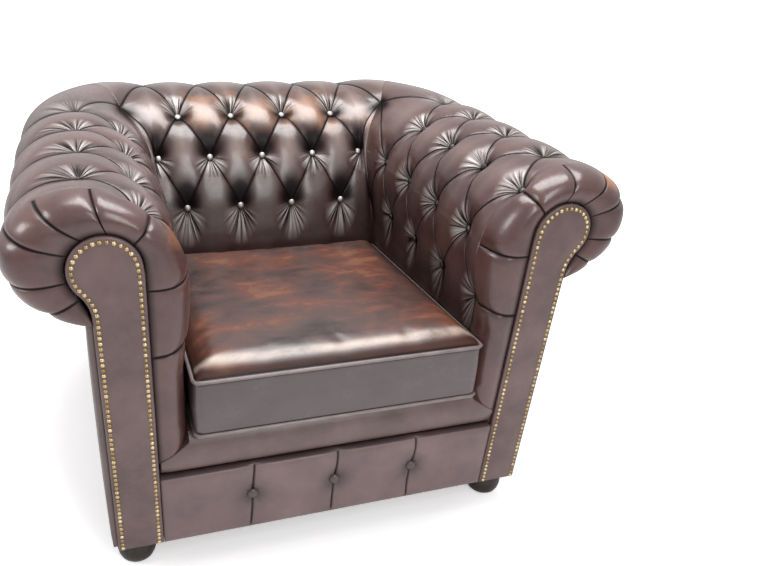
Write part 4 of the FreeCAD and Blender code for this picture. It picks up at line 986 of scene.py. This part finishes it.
def marbled_leather():
    """Cushion leather: a mottled rub-off finish on top, a painted dark reflection along its edges, a mottled
    painted highlight band behind the front edge, painted shade beside the piping, and plain boxing.
    """
    n = new_material("marbled_leather")
    vector = n.place()
    clouds = n.noise(n.place(0.7, 1.3, 1), 15, detail=6, roughness=0.62, distortion=0.3)
    broad = n.noise(vector, 5.5, detail=2)
    mottle = n.level(n.calc("MULTIPLY_ADD", broad, 0.8, clouds), 0.66, 1.12)
    colour = n.ramp(mottle, (0.0, (0.032, 0.019, 0.018)), (0.3, (0.07, 0.04, 0.036)),
                    (0.55, (0.1, 0.048, 0.039)), (0.75, (0.14, 0.05, 0.034)), (0.95, (0.2, 0.085, 0.048)))
    on_top, from_seam = n.value("top"), n.value("seam")
    # Painted dark reflection on the top near its edges, with less sheen there.
    edge_dark_reflection = n.times(n.level(from_seam, 17, 27, 0.7, 0), on_top)
    # Painted highlight: a pale, mottled band behind the front edge.
    front_highlight = n.times(n.value("front"), n.level(clouds, 0.35, 0.6, 0.3, 0.95))
    colour = n.tinted(front_highlight, n.tinted(edge_dark_reflection, colour, (0.035, 0.013, 0.01)), (0.5, 0.4, 0.34))
    plain = n.ramp(clouds, (0.3, (0.076, 0.058, 0.06)), (0.7, (0.115, 0.086, 0.088)))
    # Painted shade in the seam beside each piping cord.
    off_seam = n.calc("ABSOLUTE", n.calc("SUBTRACT", from_seam, 2.15 * PIPE_R))
    colour = n.tinted(n.level(off_seam, 0.6, 2.6, 0.9, 0), n.tinted(on_top, plain, colour), RECESS_SHADE)
    fine, skin = leather_grain(n, vector, 560, 0.15, 0.0003, 120, 0.2)
    return n.feed(Base_Color=colour, Roughness=n.level(clouds, 0.35, 0.65, 0.3, 0.42), Normal=skin,
                  Specular_IOR_Level=n.level(edge_dark_reflection, 0, 0.7, 0.5, 0.2),
                  Coat_Weight=n.level(edge_dark_reflection, 0, 0.7, 0.35, 0),
                  Coat_Roughness=n.level(clouds, 0.35, 0.65, 0.18, 0.3))


def piping_mesh(name, height):
    """Leather-covered cord sewn into a seam of the cushion."""
    line = cushion_rim(PIPE_R, 200)
    ahead = np.roll(line, -1, axis=0) - np.roll(line, 1, axis=0)
    out = np.column_stack([ahead[:, 1], -ahead[:, 0]]) / np.linalg.norm(ahead, axis=1)[:, None]
    turns = [2 * math.pi * k / PIPE_SIDES for k in range(PIPE_SIDES)]
    points = [(*(spot + way * PIPE_R * math.cos(a)) * MM, (height + PIPE_R * math.sin(a)) * MM)
              for spot, way in zip(line, out) for a in turns]
    obj = mesh_object(name, points, ring_faces(len(line), PIPE_SIDES, closed=True))
    obj.data.transform(cushion_seat)
    face_outwards(obj)
    return obj


cushion = cushion_body()
stuff_cushion(cushion)
mark_cushion(cushion)
cushion.data.transform(cushion_seat)
face_outwards(cushion)
finish_piece(cushion, marbled_leather(), "cushion", "cushion_leather", "cushion_cover", "cushion_core")
# The piping is painted paler than the cover: a painted highlight along the cord.
highlighted_piping_leather = plain_leather("highlighted_piping_leather", (0.16, 0.125, 0.122), (0.26, 0.205, 0.2), 30, 0.34)
for name, height in (("piping_top", CUSHION_THICK - PIPE_R), ("piping_bottom", PIPE_R)):
    finish_piece(piping_mesh(name + "_cord", height), highlighted_piping_leather, "cushion", "cushion_leather", name)
keep_solid(["zip"], cloth_finish("zip_cloth", (0.012, 0.008, 0.007), (0.04, 0.028, 0.024), 260, 0.8))
keep_solid(["zip_slider"], metal_finish("zip_brass", (0.22, 0.15, 0.06), (0.5, 0.36, 0.15), 0.3, 200))

# Floor, sky, lamps and camera: a plain pale floor that glows white away from the chair and keeps
# its shadow, a sky that is white to the camera, soft panels overhead, in front and at the side.
FLOOR_SIZE = 40.0
SKY_LIGHT, SKY_GLOSS = 0.45, 0.6  # the sky's share in plain light, and in reflections

corners = [(x * FLOOR_SIZE, y * FLOOR_SIZE, 0) for x, y in ((-1, -1), (1, -1), (1, 1), (-1, 1))]
floor = mesh_object("floor", corners, [(0, 1, 2, 3)], smooth=False)
n = new_material("floor_paint")
away = n.node("ShaderNodeVectorMath", {0: n.place()}, operation="LENGTH").outputs["Value"]
glow = n.times(n.node("ShaderNodeLightPath").outputs["Is Camera Ray"], n.level(away, 0.5, 1.2, 0.4, 1.0))
floor.data.materials.append(n.feed(Base_Color=(0.9, 0.89, 0.9), Roughness=0.7, Specular_IOR_Level=0.1,
                                   Emission_Color=(1, 1, 1), Emission_Strength=glow))

world = bpy.data.worlds.new("studio")
bpy.context.scene.world = world
world.use_nodes = True
n = Nodes(world.node_tree)
plain_sky = world.node_tree.nodes["Background"]
n.join((1, 1, 1), plain_sky.inputs["Color"])
n.join(SKY_LIGHT, plain_sky.inputs["Strength"])
white_sky = n.node("ShaderNodeBackground", {"Color": (1, 1, 1)})
ray = n.node("ShaderNodeLightPath").outputs
seen = n.calc("MAXIMUM", ray["Is Camera Ray"], n.times(ray["Is Glossy Ray"], SKY_GLOSS))
sky = n.node("ShaderNodeMixShader", {"Fac": seen, 1: plain_sky.outputs[0], 2: white_sky.outputs[0]})
n.join(sky.outputs[0], world.node_tree.nodes["World Output"].inputs["Surface"])

for name, place, target, width, height, power in (
        ("overhead", (0.2, 0.2, 2.6), (0.1, 0, 0.4), 2.0, 1.2, 60),
        ("front_panel", (0.35, -2.1, 1.7), (0, 0.1, 0.5), 0.6, 1.8, 22),
        ("side_fill", (-2.4, -0.4, 1.7), (0, 0, 0.5), 1.0, 1.0, 24)):
    data = bpy.data.lights.new(name, "AREA")
    data.shape = "RECTANGLE"
    data.size, data.size_y, data.energy = width, height, power
    lamp = bpy.data.objects.new(name, data)
    bpy.context.scene.collection.objects.link(lamp)
    lamp.location = place
    lamp.rotation_mode = "QUATERNION"
    lamp.rotation_quaternion = (Vector(target) - Vector(place)).to_track_quat("-Z", "Y")

YAW, PITCH, ROLL = math.radians(-18.4644), math.radians(-29.1331), math.radians(-3.3612)
CAMERA_PLACE = (-0.3783, -1.3539, 1.0709)
camera_data = bpy.data.cameras.new("camera")
camera_data.sensor_width = 36
camera_data.lens = 32.32
camera_data.shift_x = 0.1004
camera_data.shift_y = 0.0257
camera = bpy.data.objects.new("camera", camera_data)
bpy.context.scene.collection.objects.link(camera)
aim = Matrix.Rotation(YAW, 3, "Z") @ Matrix.Rotation(PITCH, 3, "X") @ Matrix.Rotation(ROLL, 3, "Y")
right, forward, up = aim.col[0], aim.col[1], aim.col[2]
pose = Matrix((right, up, -forward)).transposed().to_4x4()
pose.translation = CAMERA_PLACE
camera.matrix_world = pose
bpy.context.scene.camera = camera
bpy.context.scene.view_settings.view_transform = "Standard"
